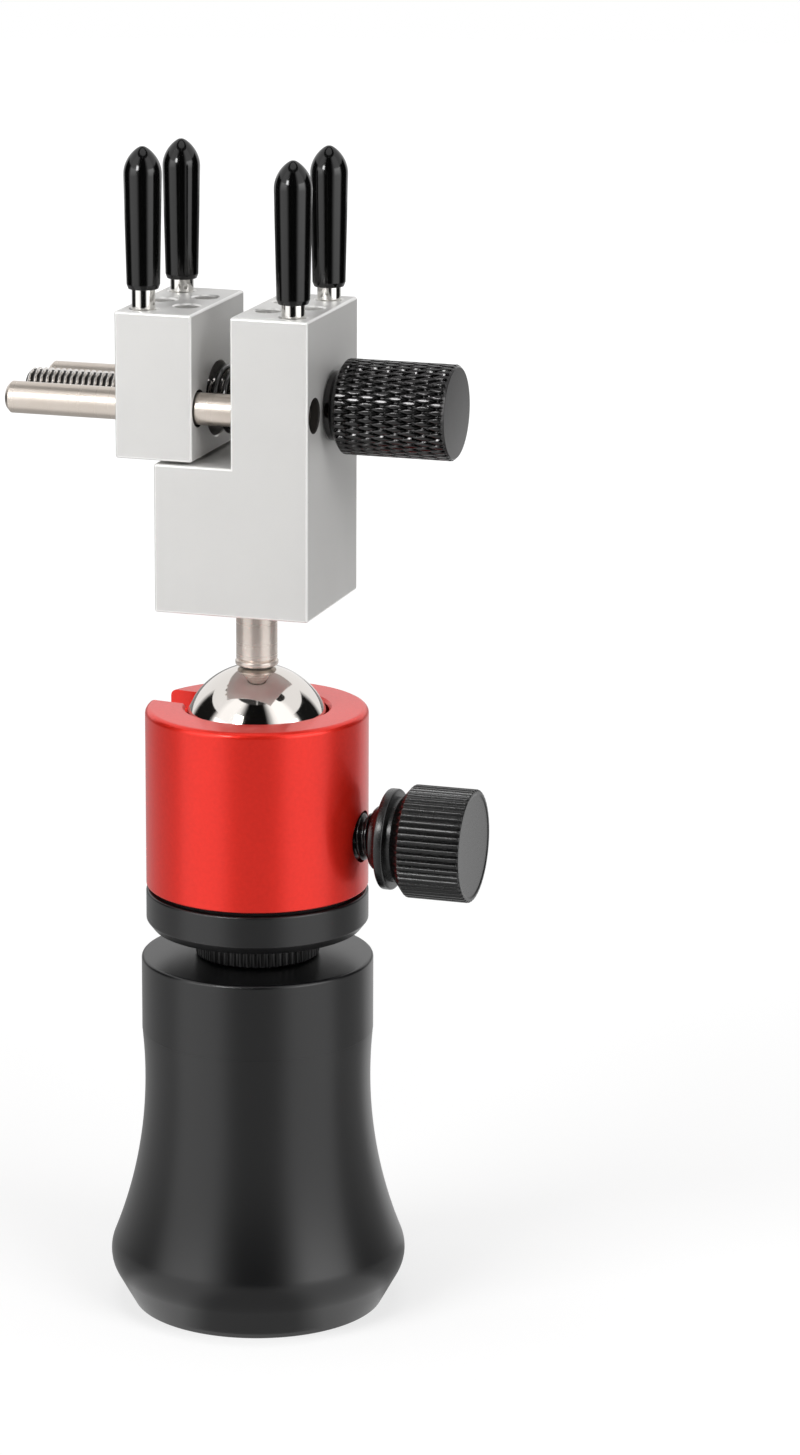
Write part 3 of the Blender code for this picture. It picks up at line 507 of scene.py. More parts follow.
@dataclass(frozen=True)
class Knurl(Relief):
    """A diamond knurl: two families of grooves that cross."""

    step: float = 0.2 * MM
    points: int = 10
    length: float = 3.6 * MM
    fullness: float = 2.0

    def share(self, height: np.ndarray, turn: np.ndarray) -> np.ndarray:
        """Give grooves of both hands, which leave a long diamond of the blank between them.

        Args:
            height: Heights of the blank's points.
            turn: Their angles.

        Returns:
            The share of the depth that is cut at each point.
        """
        across, along = turn * self.count / FULL_TURN, height / self.length
        crests = [np.sin(crest_distance(across + way * along) * math.pi / 2) for way in (-1, 1)]
        return 1 - np.sin(np.minimum(1, self.fullness * crests[0] * crests[1]) * math.pi / 2)


@dataclass(frozen=True)
class Thread(Relief):
    """A screw thread with small flats on its crests and roots."""

    pitch: float = 0.8 * MM
    flat: float = 0.18

    def share(self, height: np.ndarray, turn: np.ndarray) -> np.ndarray:
        """Give a right-hand helical groove."""
        near = crest_distance(height / self.pitch - turn / FULL_TURN)
        return np.clip((1 - near - self.flat) / (1 - 2 * self.flat), 0, 1)


def placed(name: str, data: bpy.types.ID) -> Object:
    """Put a mesh, curve, lamp or camera in the scene.

    Args:
        name: Name of the object.
        data: What it shows.

    Returns:
        The object, linked to the scene.
    """
    made = bpy.data.objects.new(name, data)
    bpy.context.scene.collection.objects.link(made)
    return made


def meshed(name: str, shape: bmesh.types.BMesh) -> Object:
    """Put a shape in the scene as a mesh, and free it.

    Args:
        name: Name of the object.
        shape: The shape.

    Returns:
        The object, linked to the scene.
    """
    mesh = bpy.data.meshes.new(name)
    shape.to_mesh(mesh)
    shape.free()
    return placed(name, mesh)


def pushed(section: list[tuple[float, float, float]], way: tuple[float, float, float]) -> bmesh.types.BMesh:
    """Push a flat section out to a closed bar.

    Args:
        section: Corners of the section, in order.
        way: Vector from one end of the bar to the other.

    Returns:
        The bar.
    """
    shape = bmesh.new()
    face = shape.faces.new([shape.verts.new(corner) for corner in section])
    made = bmesh.ops.extrude_face_region(shape, geom=[face])["geom"]
    far_end = [part for part in made if isinstance(part, bmesh.types.BMVert)]
    bmesh.ops.translate(shape, vec=way, verts=far_end)
    bmesh.ops.recalc_face_normals(shape, faces=shape.faces)
    return shape


def shaded(piece: Object, crease_deg: float) -> Object:
    """Shade a piece smooth across its round stretches, with its wide faces kept flat.

    Args:
        piece: Mesh object.
        crease_deg: Angle from which an edge stays sharp.

    Returns:
        The same object.
    """
    piece.data.shade_smooth()
    piece.data.set_sharp_from_angle(angle=math.radians(crease_deg))
    even = piece.modifiers.new("even_normals", "WEIGHTED_NORMAL")
    even.keep_sharp = True
    return piece


def turned(
    name: str,
    corners: list[Corner],
    columns: int = FINE_COLUMNS,
    relief: Relief | None = None,
    crease_deg: float = CREASE_DEG,
) -> Object:
    """Spin an outline about Z.

    Args:
        name: Name of the piece.
        corners: Its outline, top to bottom on the outer side. It is closed where it starts
            off the axis, and otherwise starts and ends on it.
        columns: Number of points round the axis, unless relief says it.
        relief: Pattern cut into the outer side.
        crease_deg: Angle from which an edge stays sharp.

    Returns:
        The turned object, linked to the scene.
    """
    points = rounded(corners)
    if relief is not None:
        points = relief.refined(points)
        columns = relief.columns
    turn = np.arange(columns) * FULL_TURN / columns
    radius, height = (np.outer([point[i] for point in points], np.ones(columns)) for i in (0, 1))
    if relief is not None:
        radius = relief.carve(radius, height, turn)
    vertices, rows = [], []
    for point, around, level in zip(points, radius, height):
        first = len(vertices)
        if point.x == 0:
            rows.append([first] * columns)
            vertices.append((0.0, 0.0, point.y))
        else:
            rows.append(range(first, first + columns))
            vertices.extend(zip(around * np.cos(turn), around * np.sin(turn), level))
    pairs = list(zip(rows, rows[1:]))
    if points[0].x > 0:
        pairs.append((rows[-1], rows[0]))
    faces = []
    for upper, lower in pairs:
        for j in range(columns):
            k = (j + 1) % columns
            faces.append(list(dict.fromkeys((upper[j], lower[j], lower[k], upper[k]))))
    mesh = bpy.data.meshes.new(name)
    mesh.from_pydata(vertices, [], faces)
    return shaded(placed(name, mesh), crease_deg)


def put(piece: Object, direction: Direction, x: float = 0.0, y: float = 0.0, z: float = 0.0) -> Object:
    """Put a turned piece on its axis, with its heights counted along it from (x, y, z)."""
    piece.rotation_euler, piece.location = direction.value, (x, y, z)
    return piece


def fit(piece: Object, body: str, finish: Finish, *nodes: str) -> Object:
    """Dress a finished piece and let it stand for its nodes.

    Args:
        piece: The piece, in its place.
        body: Body that it moves with.
        finish: Finish that it takes, unless it has its own already.
        nodes: Nodes of the frame that it stands for.

    Returns:
        The same object.
    """
    if not piece.data.materials:
        piece.data.materials.append(finish.material())
    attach(piece, body)
    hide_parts(*nodes)
    return piece


def paint(piece: Object, finish: Finish, chosen: Callable[[MeshPolygon], bool]) -> Object:
    """Give some faces of a dressed piece a further finish.

    Args:
        piece: The piece.
        finish: The further finish.
        chosen: Says of each face if it takes the finish.

    Returns:
        The same object.
    """
    piece.data.materials.append(finish.material())
    for face in piece.data.polygons:
        if chosen(face):
            face.material_index = len(piece.data.materials) - 1
    return piece


def dress_node(node: str, finish: Finish) -> Object:
    """Give a node that stays in view its finish.

    Args:
        node: Name of the node.
        finish: Its finish.

    Returns:
        The node's object.
    """
    piece = frame["nodes"][node]
    piece.data.materials.clear()
    piece.data.materials.append(finish.material())
    return piece


def barrel(bore: float, outer: float, low: float, high: float, edge: float = 0.0) -> list[Corner]:
    """Outline of a plain ring, or of a bar where bore is 0, with its outer edges rounded."""
    return [Corner(bore, high), Corner(outer, high, edge), Corner(outer, low, edge), Corner(bore, low)]


def pocket(bore: float, face: float, floor: float) -> list[Corner]:
    """End of an outline: a blind bore on the axis, from a face in to its floor."""
    return [Corner(bore, face), Corner(bore, floor), Corner(0, floor)]


def chamfered(radius: float, low: float, high: float, chamfer: float, edge: float = 0.0) -> list[Corner]:
    """Outline of a round bar with both ends chamfered.

    Args:
        radius: Radius of the bar.
        low: Height of its lower end.
        high: Height of its upper end.
        chamfer: Size of the chamfers.
        edge: Rounding of their edges.

    Returns:
        The bar's outline.
    """
    upper = [Corner(radius - chamfer, high, edge), Corner(radius, high - chamfer, edge)]
    lower = [Corner(radius, low + chamfer, edge), Corner(radius - chamfer, low, edge)]
    return [Corner(0, high), *upper, *lower, Corner(0, low)]


def mouth(radius: float, face: float, flare: float, way: int = 1) -> list[Corner]:
    """Outline of a cutter where its hole meets a face, with the hole's edge broken.

    Args:
        radius: Radius of the hole.
        face: Height of the face.
        flare: Width of the broken edge.
        way: 1 where the face looks up, and -1 where it looks down.

    Returns:
        Corners from the axis beyond the face to the hole's wall.
    """
    wide, beyond = radius + flare + OVERRUN, face + way * OVERRUN
    return [Corner(0, beyond), Corner(wide, beyond), Corner(radius, face - way * flare)]


def blind(radius: float, floor: float, face: float, flare: float = 0.0) -> list[Corner]:
    """Outline of a cutter for a hole down from a face, with a flat floor."""
    return [*mouth(radius, face, flare), Corner(radius, floor), Corner(0, floor)]


def carved(piece: Object, cutters: list[Object], finish: Finish, soften: float = 0.0) -> Object:
    """Cut a piece with its cutters, which are then removed.

    Args:
        piece: The piece.
        cutters: Closed objects that it is cut with.
        finish: Finish of the cut faces, unless a cutter has its own.
        soften: Width by which the new edges are rounded.

    Returns:
        The piece, with its modifiers applied.
    """
    piece.modifiers.clear()
    for cutter in cutters:
        cutter.modifiers.clear()
        if not cutter.data.materials:
            cutter.data.materials.append(finish.material())
        step = piece.modifiers.new(cutter.name, "BOOLEAN")
        step.material_mode = "TRANSFER"
        step.operation = "DIFFERENCE"
        step.object = cutter
        step.solver = "EXACT"
    if soften > 0:
        bevel = piece.modifiers.new("soften", "BEVEL")
        bevel.width = soften
        bevel.segments = SOFTEN_STEPS
        bevel.limit_method = "ANGLE"
        bevel.angle_limit = math.radians(CREASE_DEG)
    graph = bpy.context.evaluated_depsgraph_get()
    mesh = bpy.data.meshes.new_from_object(piece.evaluated_get(graph))
    piece.modifiers.clear()
    piece.data = mesh
    for cutter in cutters:
        bpy.data.objects.remove(cutter, do_unlink=True)
    return shaded(piece, CREASE_DEG)


@dataclass
class Foot:
    """The heavy turned foot, with its rubber pad and the stud that it carries."""

    widest_height: float = 6.6 * MM
    edge_round: float = 5.0 * MM
    undercut_deg: float = 29.0
    waist_radius: float = 14.46 * MM
    neck_length: float = 9.8 * MM
    neck_above_waist: float = 6.3 * MM
    neck_step: float = 0.03 * MM
    top_round: float = 0.45 * MM
    tread_round: float = 0.3 * MM
    flare_steps: int = 36
    edge_steps: int = 16

    def side(self, widest: float, top: float) -> list[Corner]:
        """Outline of the outer side: neck, hollow flare, round edge and undercut.

        Args:
            widest: Radius of the widest place.
            top: Height of the foot.

        Returns:
            Corners from the top to the tread.
        """
        waist_level = top - self.neck_length - self.neck_above_waist
        rise, swell = waist_level - self.widest_height, widest - self.waist_radius
        offset = self.edge_round - swell
        flare_radius = (offset**2 + rise**2 - self.edge_round**2) / (2 * swell)
        meet_deg = math.degrees(math.atan2(rise, flare_radius + offset))
        neck_deg = math.degrees(math.asin(self.neck_above_waist / flare_radius))
        flare_centre = Corner(self.waist_radius + flare_radius, waist_level)
        flare = arc(flare_centre, flare_radius, 180 - neck_deg, 180 + meet_deg, self.flare_steps)
        edge_centre = Corner(widest - self.edge_round, self.widest_height)
        edge = arc(edge_centre, self.edge_round, meet_deg, -self.undercut_deg, self.edge_steps)
        neck_radius = flare[0].radius
        tread = edge[-1].radius - edge[-1].height * math.tan(math.radians(self.undercut_deg))
        return [
            Corner(neck_radius, top, self.top_round),
            Corner(neck_radius, flare[0].height),
            Corner(neck_radius - self.neck_step, flare[0].height - self.neck_step),
            *flare[1:],
            *edge[1:],
            Corner(tread, 0, self.tread_round),
        ]

    def build(self) -> list[Object]:
        """Make the foot, and dress its pad and stud.

        Returns:
            The three pieces.
        """
        widest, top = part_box("base_body")[1].x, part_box("base_body")[1].z
        recess, pad_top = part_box("foot_pad")[1].x + SEAT_GAP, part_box("foot_pad")[1].z + SEAT_GAP
        stud_low, stud_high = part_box("base_stud")
        stud_bore = pocket(stud_high.x + SEAT_GAP, top, stud_low.z - SEAT_GAP)
        outline = [*reversed(stud_bore), *self.side(widest, top), *pocket(recess, 0, pad_top)]
        foot = fit(turned("foot", outline), "base", FOOT_BLACK, "base_body")
        return [foot, dress_node("foot_pad", RUBBER), dress_node("base_stud", NICKEL)]


@dataclass
class Head:
    """Lock ring, disc, groove ring and red housing, with the cup and its spring inside."""

    ring_edge: float = 0.25 * MM
    rib_count: int = 54
    rib_depth: float = 0.25 * MM
    plate_chamfer_height: float = 1.1 * MM
    plate_chamfer_width: float = 0.85 * MM
    plate_edge: float = 0.3 * MM
    top_round: float = 0.8 * MM
    foot_edge: float = 0.3 * MM
    lip_depth: float = 0.4 * MM
    lip_edge: float = 0.35 * MM
    slot_half_width: float = 2.95 * MM
    slot_bearing_deg: float = 172.0
    lock_hole_radius: float = 3.3 * MM
    neck_steps: int = 10
    slot_steps: int = 24
    soften: float = 0.18 * MM

    def ring(self) -> Object:
        """Make the ribbed lock ring on the stud.

        Returns:
            The ring.
        """
        low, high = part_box("lock_ring")
        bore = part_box("base_stud")[1].x + SEAT_GAP
        ribs = Ribs(low.z, high.z, high.x, self.rib_depth, count=self.rib_count)
        outline = barrel(bore, high.x, low.z, high.z, self.ring_edge)
        return fit(turned("ribbed_ring", outline, relief=ribs), "lock_ring", PLATE_BLACK, "lock_ring")

    def plate(self) -> Object:
        """Make the black disc under the housing, with its spigot.

        Returns:
            The disc.
        """
        low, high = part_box("head_plate")
        bore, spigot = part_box("base_stud")[1].x + SEAT_GAP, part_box("ball_seat")[1].x
        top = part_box("groove_washer")[0].z
        outline = [
            Corner(bore, high.z),
            Corner(spigot, high.z),
            Corner(spigot, top),
            Corner(high.x, top, self.plate_edge),
            Corner(high.x, low.z + self.plate_chamfer_height, self.plate_edge),
            Corner(high.x - self.plate_chamfer_width, low.z, self.plate_edge / 2),
            Corner(bore, low.z),
        ]
        return fit(turned("pan_disc", outline), "head", PLATE_BLACK, "head_plate")

    def washer(self) -> Object:
        """Make the dark ring in the groove between disc and housing.

        Returns:
            The ring.
        """
        low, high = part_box("groove_washer")
        outline = barrel(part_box("ball")[1].x + SEAT_GAP, high.x, low.z, high.z)
        return fit(turned("dark_washer", outline), "head", RUBBER, "groove_washer")

    def slot_cutter(self, ball_level: float, reach: float) -> Object:
        """Make a bar with a round foot, from the ball's middle out through the side.

        Args:
            ball_level: Height of the ball's middle.
            reach: Length of the bar.

        Returns:
            The cutter.
        """
        half, above = self.slot_half_width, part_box("ball_housing")[1].z + OVERRUN
        foot = arc(Corner(0, ball_level), half, -180, 0, self.slot_steps)
        section = [Corner(-half, above), *foot, Corner(half, above)]
        cutter = meshed("slot", pushed([(0, c.radius, c.height) for c in section], (reach, 0, 0)))
        cutter.rotation_euler = (0, 0, math.radians(self.slot_bearing_deg))
        return cutter

    def housing(self) -> Object:
        """Make the red cup round the ball, with its slot and its lock hole.

        Returns:
            The cup.
        """
        low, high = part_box("ball_housing")
        ball_low, ball_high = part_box("ball")
        ball_level = ball_high.x + ball_low.z
        bore = ball_high.x + SEAT_GAP
        neck_deg = math.degrees(math.asin((high.z - self.lip_depth - ball_level) / bore))
        neck = arc(Corner(0, ball_level), bore, 0, neck_deg, self.neck_steps)
        outline = [
            Corner(high.x, high.z, self.top_round),
            Corner(high.x, low.z, self.foot_edge),
            Corner(bore, low.z),
            *neck,
            Corner(neck[-1].radius + self.lip_edge, high.z, self.lip_edge / 4),
        ]
        shell = turned("red_housing", outline)
        shell.data.materials.append(HOUSING_RED.material())
        hole = turned("lock_hole", blind(self.lock_hole_radius, bore / 2, high.x), SMALL_COLUMNS)
        put(hole, Direction.RIGHT, z=centre_of("clamp_screw")[2])
        carved(shell, [self.slot_cutter(ball_level, high.x + OVERRUN), hole], HOUSING_RED, self.soften)
        return fit(shell, "head", HOUSING_RED, "ball_housing")

    def build(self) -> list[Object]:
        """Make the ring, disc, washer and housing, and dress what is inside."""
        made = [self.ring(), self.plate(), self.washer(), self.housing()]
        return [*made, dress_node("ball_seat", ACETAL), dress_node("seat_spring", NICKEL)]


@dataclass
class BallLock:
    """Plug, screw and ribbed knob that lock the ball, along +X."""

    screw_depth: float = 0.55 * MM
    screw_pitch: float = 1.0 * MM
    screw_points: int = 36
    boss_radius: float = 3.75 * MM
    flange_radius: float = 6.4 * MM
    flare_length: float = 1.5 * MM
    flare_steps: int = 8
    flange_length: float = 1.3 * MM
    groove_radius: float = 5.4 * MM
    groove_length: float = 0.7 * MM
    chamfer: float = 1.5 * MM
    edge: float = 0.25 * MM
    rib_count: int = 50
    rib_depth: float = 0.35 * MM
    face_dish: float = 0.1 * MM

    @property
    def level(self) -> float:
        """Height of the lock's axis."""
        return centre_of("clamp_screw")[2]

    def screw(self) -> Object:
        """Make the black threaded shank between housing and knob.

        Returns:
            The shank.
        """
        low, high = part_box("clamp_screw")
        outer, step = high.z - self.level, self.screw_pitch / THREAD_ROWS
        thread = Thread(
            low.x, high.x, outer, self.screw_depth, step, points=self.screw_points, pitch=self.screw_pitch
        )
        piece = turned("lock_screw_thread", barrel(0, outer, low.x, high.x), relief=thread)
        put(piece, Direction.RIGHT, z=self.level)
        return fit(piece, "clamp_knob", KNOB_BLACK, "clamp_screw")

    def knob(self) -> Object:
        """Make the ribbed knob with its flange and its bell-shaped boss.

        Returns:
            The knob.
        """
        low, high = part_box("clamp_knob")
        screw_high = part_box("clamp_screw")[1]
        outer, bore = high.z - self.level, screw_high.z - self.level + SEAT_GAP
        flange_start = low.x + self.flare_length
        flange_end = flange_start + self.flange_length
        body_start = flange_end + self.groove_length
        ribs = Ribs(body_start, high.x, outer, self.rib_depth, count=self.rib_count)
        bell_centre = Corner(self.boss_radius + self.edge + self.flare_length, low.x + self.edge)
        outline = [
            Corner(0, high.x - self.face_dish),
            Corner(outer - 3 * self.edge, high.x - self.face_dish, self.edge),
            Corner(outer - 2 * self.edge, high.x, self.edge / 4),
            Corner(outer, high.x, self.edge),
            Corner(outer, body_start + self.chamfer, self.edge),
            Corner(self.groove_radius, body_start),
            Corner(self.groove_radius, flange_end),
            Corner(self.flange_radius, flange_end, self.edge),
            Corner(self.flange_radius, flange_start, self.edge),
            *arc(bell_centre, self.flare_length, 90, 180, self.flare_steps),
            Corner(self.boss_radius, low.x),
            *pocket(bore, low.x, screw_high.x + SEAT_GAP),
        ]
        piece = put(turned("lock_knob_ribbed", outline, relief=ribs), Direction.RIGHT, z=self.level)
        return fit(piece, "clamp_knob", KNOB_BLACK, "clamp_knob")

    def build(self) -> list[Object]:
        """Make the screw and knob, and dress the plug."""
        return [self.screw(), self.knob(), dress_node("clamp_plug", BRASS)]


@dataclass
class BallAndStem:
    """Chrome ball and the nickel stem that carries the jaws."""

    pin_radius: float = 1.8 * MM
    pin_length: float = 4.3 * MM
    stem_radius: float = 2.6 * MM
    collar_sink: float = 0.15 * MM
    collar_cone: float = 0.3 * MM
    collar_land: float = 0.55 * MM
    collar_round: float = 0.24 * MM
    groove_depth: float = 0.16 * MM
    ball_steps: int = 64

    def ball(self) -> Object:
        """Make the ball, with the blind hole that takes the stem.

        Returns:
            The ball.
        """
        low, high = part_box("ball")
        radius, level = high.x, high.x + low.z
        hole, floor = self.pin_radius + SEAT_GAP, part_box("ball_stem")[0].z - SEAT_GAP
        rim_deg = math.degrees(math.acos(hole / radius))
        skin = arc(Corner(0, level), radius, rim_deg, -90, self.ball_steps)
        outline = [Corner(0, floor), Corner(hole, floor), *skin[:-1], Corner(0, level - radius)]
        return fit(turned("chrome_ball", outline), "ball", CHROME, "ball")

    def stem(self) -> Object:
        """Make the stem with its collar, groove and pin.

        Returns:
            The stem.
        """
        low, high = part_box("ball_stem")
        seat = low.z + self.pin_length - self.collar_sink
        cone_top = seat + self.collar_cone
        collar_top = cone_top + self.collar_land
        outline = [
            Corner(0, high.z),
            Corner(self.stem_radius, high.z),
            Corner(self.stem_radius, collar_top + 2 * self.groove_depth, self.groove_depth / 3),
            Corner(self.stem_radius - self.groove_depth, collar_top + self.groove_depth),
            Corner(high.x, collar_top, self.collar_round),
            Corner(high.x, cone_top, self.collar_round),
            Corner(self.pin_radius, seat),
            Corner(self.pin_radius, low.z),
            Corner(0, low.z),
        ]
        return fit(turned("nickel_stem", outline, SMALL_COLUMNS), "vise", STEM_NICKEL, "ball_stem")

    def build(self) -> list[Object]:
        """Make the ball and the stem."""
        return [self.ball(), self.stem()]


@dataclass
class Jaws:
    """The L-shaped block and the loose block that slides towards it."""

    edge: float = 0.3 * MM
    edge_steps: int = 3
    edge_profile: float = 0.5
    hole_edge: float = 0.15 * MM
    pin_hole_radius: float = 1.65 * MM
    pin_hole_flare: float = 0.2 * MM
    pin_hole_depth: float = 7.0 * MM
    pin_inset: float = 2.8 * MM
    pin_row: float = 7.0 * MM
    inner_row: float = 3.5 * MM
    rod_bore: float = 2.2 * MM
    seated_bore: float = 2.08 * MM
    screw_bore: float = 2.8 * MM
    stem_bore: float = 2.9 * MM
    spring_pocket: float = 4.65 * MM
    spring_seat_depth: float = 1.0 * MM

    def block(self, name: str, outline: list[tuple[float, float]], half_depth: float) -> Object:
        """Make a block of an outline in the XZ plane, with its edges rounded and painted paler as a
        highlight.

        Args:
            name: Name of the block.
            outline: Its corners as (x, z).
            half_depth: Half its size along Y.

        Returns:
            The block.
        """
        shape = pushed([(x, -half_depth, z) for x, z in outline], (0, 2 * half_depth, 0))
        outer = [edge for edge in shape.edges if edge.calc_face_angle_signed() > 0]
        # The rounded edges take the second of the block's two materials, a paler colour painted as a
        # highlight
        bmesh.ops.bevel(
            shape,
            geom=outer,
            offset=self.edge,
            segments=self.edge_steps,
            profile=self.edge_profile,
            affect="EDGES",
            material=1,
        )
        block = meshed(name, shape)
        for finish in (JAW_SATIN, JAW_EDGE_HIGHLIGHT):
            block.data.materials.append(finish.material())
        return block

    def pin_holes(self, name: str, outer_x: float, inner_x: float, top: float) -> list[Object]:
        """Make the cutters for the five holes in a block's top.

        Args:
            name: Start of the cutters' names.
            outer_x: Place of the row of three.
            inner_x: Place of the row of two.
            top: Height of the block's top.

        Returns:
            The cutters.
        """
        places = [(outer_x, y) for y in (-self.pin_row, 0, self.pin_row)]
        places += [(inner_x, y) for y in (-self.inner_row, self.inner_row)]
        outline = blind(self.pin_hole_radius, top - self.pin_hole_depth, top, self.pin_hole_flare)
        cutters = [turned(f"{name}_{number}", outline, SMALL_COLUMNS) for number in range(len(places))]
        return [put(cutter, Direction.UP, *place) for cutter, place in zip(cutters, places)]

    def long_bores(
        self, name: str, radius: float, low: float, high: float, screw: list[Corner]
    ) -> list[Object]:
        """Make the cutters for what runs along X through a block: two rods and the screw.

        Args:
            name: Start of the cutters' names.
            radius: Radius of the rods' bores, whose walls are painted dark as shade.
            low: Place of one face.
            high: Place of the other.
            screw: Outline of the screw's bore.

        Returns:
            The cutters.
        """
        _, y, z = centre_of("guide_rod_back")
        rod = [*mouth(radius, high, self.hole_edge), *reversed(mouth(radius, low, self.hole_edge, -1))]
        cutters = []
        for side in (-1, 1):
            cutter = turned(f"{name}_rod_{side}", rod, SMALL_COLUMNS)
            # The rods' bores take a dark colour painted as shade
            cutter.data.materials.append(PAINTED_SHADE.material())
            cutters.append(put(cutter, Direction.RIGHT, y=side * y, z=z))
        return [*cutters, put(turned(f"{name}_screw", screw, SMALL_COLUMNS), Direction.RIGHT, z=z)]

    def fixed(self) -> Object:
        """Make the L-shaped block, with the stem's hole under it.

        Returns:
            The block.
        """
        low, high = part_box("fixed_jaw")
        moving_low, moving_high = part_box("moving_jaw")
        face, ledge = high.x - (moving_high.x - moving_low.x), centre_of("fixed_jaw")[2]
        upper = [(high.x, high.z), (face, high.z), (face, ledge), (low.x, ledge)]
        block = self.block("angle_block", [(low.x, low.z), (high.x, low.z), *upper], high.y)
        seat = face + self.spring_seat_depth
        screw = [
            *mouth(self.screw_bore, high.x, self.hole_edge),
            Corner(self.screw_bore, seat),
            Corner(self.spring_pocket, seat),
            Corner(self.spring_pocket, face - OVERRUN),
            Corner(0, face - OVERRUN),
        ]
        stem_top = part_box("ball_stem")[1].z
        stem = blind(self.stem_bore, -stem_top - SEAT_GAP, -low.z, self.hole_edge)
        cutters = [
            *self.pin_holes("fixed_hole", high.x - self.pin_inset, face + self.pin_inset, high.z),
            *self.long_bores("fixed", self.seated_bore, face, high.x, screw),
            put(turned("stem_bore", stem, SMALL_COLUMNS), Direction.DOWN),
        ]
        return fit(carved(block, cutters, BORE_BRIGHT), "vise", JAW_SATIN, "fixed_jaw")

    def moving(self) -> Object:
        """Make the sliding block, with the pocket that takes the spring.

        Returns:
            The block.
        """
        low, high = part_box("moving_jaw")
        outline = [(low.x, low.z), (high.x, low.z), (high.x, high.z), (low.x, high.z)]
        block = self.block("sliding_block", outline, high.y)
        pocket_floor = centre_of("moving_jaw")[0]
        screw = [
            *mouth(self.spring_pocket, high.x, self.hole_edge),
            Corner(self.spring_pocket, pocket_floor),
            Corner(self.screw_bore, pocket_floor),
            *reversed(mouth(self.screw_bore, low.x, self.hole_edge, -1)),
        ]
        cutters = [
            *self.pin_holes("moving_hole", low.x + self.pin_inset, high.x - self.pin_inset, high.z),
            *self.long_bores("moving", self.rod_bore, low.x, high.x, screw),
        ]
        return fit(carved(block, cutters, BORE_BRIGHT), "moving_jaw", JAW_SATIN, "moving_jaw")

    def build(self) -> list[Object]:
        """Make both blocks."""
        return [self.fixed(), self.moving()]


@dataclass
class Guides:
    """The two ground guide rods, whose free ends are painted dark as shade."""

    chamfer: float = 0.5 * MM
    edge: float = 0.15 * MM
    end_share: float = 0.99

    def rod(self, node: str, name: str) -> Object:
        """Make one rod.

        Args:
            node: The rod's node in the frame.
            name: Name of the piece.

        Returns:
            The rod.
        """
        low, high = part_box(node)
        _, y, z = centre_of(node)
        outline = chamfered((high.z - low.z) / 2, low.x, high.x, self.chamfer, self.edge)
        piece = put(turned(name, outline, SMALL_COLUMNS), Direction.RIGHT, y=y, z=z)
        fit(piece, "vise", NICKEL, node)
        # The rod's free end is painted dark as shade
        return paint(piece, PAINTED_SHADE, lambda face: -face.normal.z > self.end_share)

    def build(self) -> list[Object]:
        """Make both rods."""
        return [self.rod(f"guide_rod_{side}", f"ground_rod_{side}") for side in ("front", "back")]


@dataclass
class DriveScrew:
    """Threaded screw that moves the sliding block, and its knurled knob."""

    pitch: float = 0.8 * MM
    thread_depth: float = 0.48 * MM
    thread_points: int = 32
    tip_chamfer: float = 0.6 * MM
    end_share: float = 0.99
    dark_share: float = 0.55
    neck_radius: float = 4.35 * MM
    neck_length: float = 0.6 * MM
    knob_chamfer: float = 1.2 * MM
    face_edge: float = 0.2 * MM
    knurl_depth: float = 0.32 * MM
    knurl_count: int = 38
    knurl_crease_deg: float = 50.0

    @property
    def level(self) -> float:
        """Height of the screw's axis."""
        return centre_of("drive_screw")[2]

    def screw(self) -> Object:
        """Make the screw with its thread, from the free end into the knob.

        Returns:
            The screw, with its ends and its thread's roots painted dark as shade.
        """
        low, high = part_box("drive_screw")
        outer, step = high.z - self.level, self.pitch / THREAD_ROWS
        thread = Thread(
            low.x, high.x, outer, self.thread_depth, step, points=self.thread_points, pitch=self.pitch
        )
        outline = chamfered(outer, low.x, high.x, self.tip_chamfer)
        piece = put(turned("drive_thread", outline, relief=thread), Direction.RIGHT, z=self.level)
        fit(piece, "drive_screw", THREAD_NICKEL, "drive_screw")
        # The thread's roots and the screw's ends are painted dark as shade
        root = outer - self.dark_share * self.thread_depth
        return paint(
            piece, PAINTED_SHADE, lambda face: abs(face.normal.z) > self.end_share or face.center.xy.length < root
        )

    def knob(self) -> Object:
        """Make the knob with its diamond knurl.

        Returns:
            The knob, with its outer end in a finish of its own, painted lighter for the light that it
            catches.
        """
        low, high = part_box("screw_knob")
        screw_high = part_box("drive_screw")[1]
        outer, bore = high.z - self.level, screw_high.z - self.level + SEAT_GAP
        body_start = low.x + self.neck_length
        knurl = Knurl(body_start, high.x - self.face_edge, outer, self.knurl_depth, count=self.knurl_count)
        outline = [
            Corner(0, high.x),
            Corner(outer - self.knurl_depth, high.x, self.face_edge / 2),
            Corner(outer, high.x - self.knurl_depth, self.face_edge / 2),
            Corner(outer, body_start + self.knob_chamfer, self.face_edge),
            Corner(self.neck_radius, body_start),
            Corner(self.neck_radius, low.x),
            *pocket(bore, low.x, screw_high.x + SEAT_GAP),
        ]
        piece = turned("knurled_knob", outline, relief=knurl, crease_deg=self.knurl_crease_deg)
        put(piece, Direction.RIGHT, z=self.level)
        fit(piece, "drive_screw", KNURL_BLACK, "screw_knob")
        return paint(
            piece, KNOB_END_PAINTED_LIGHT, lambda face: face.normal.z > self.end_share and face.center.z > body_start
        )

    def build(self) -> list[Object]:
        """Make the screw and its knob."""
        return [self.screw(), self.knob()]


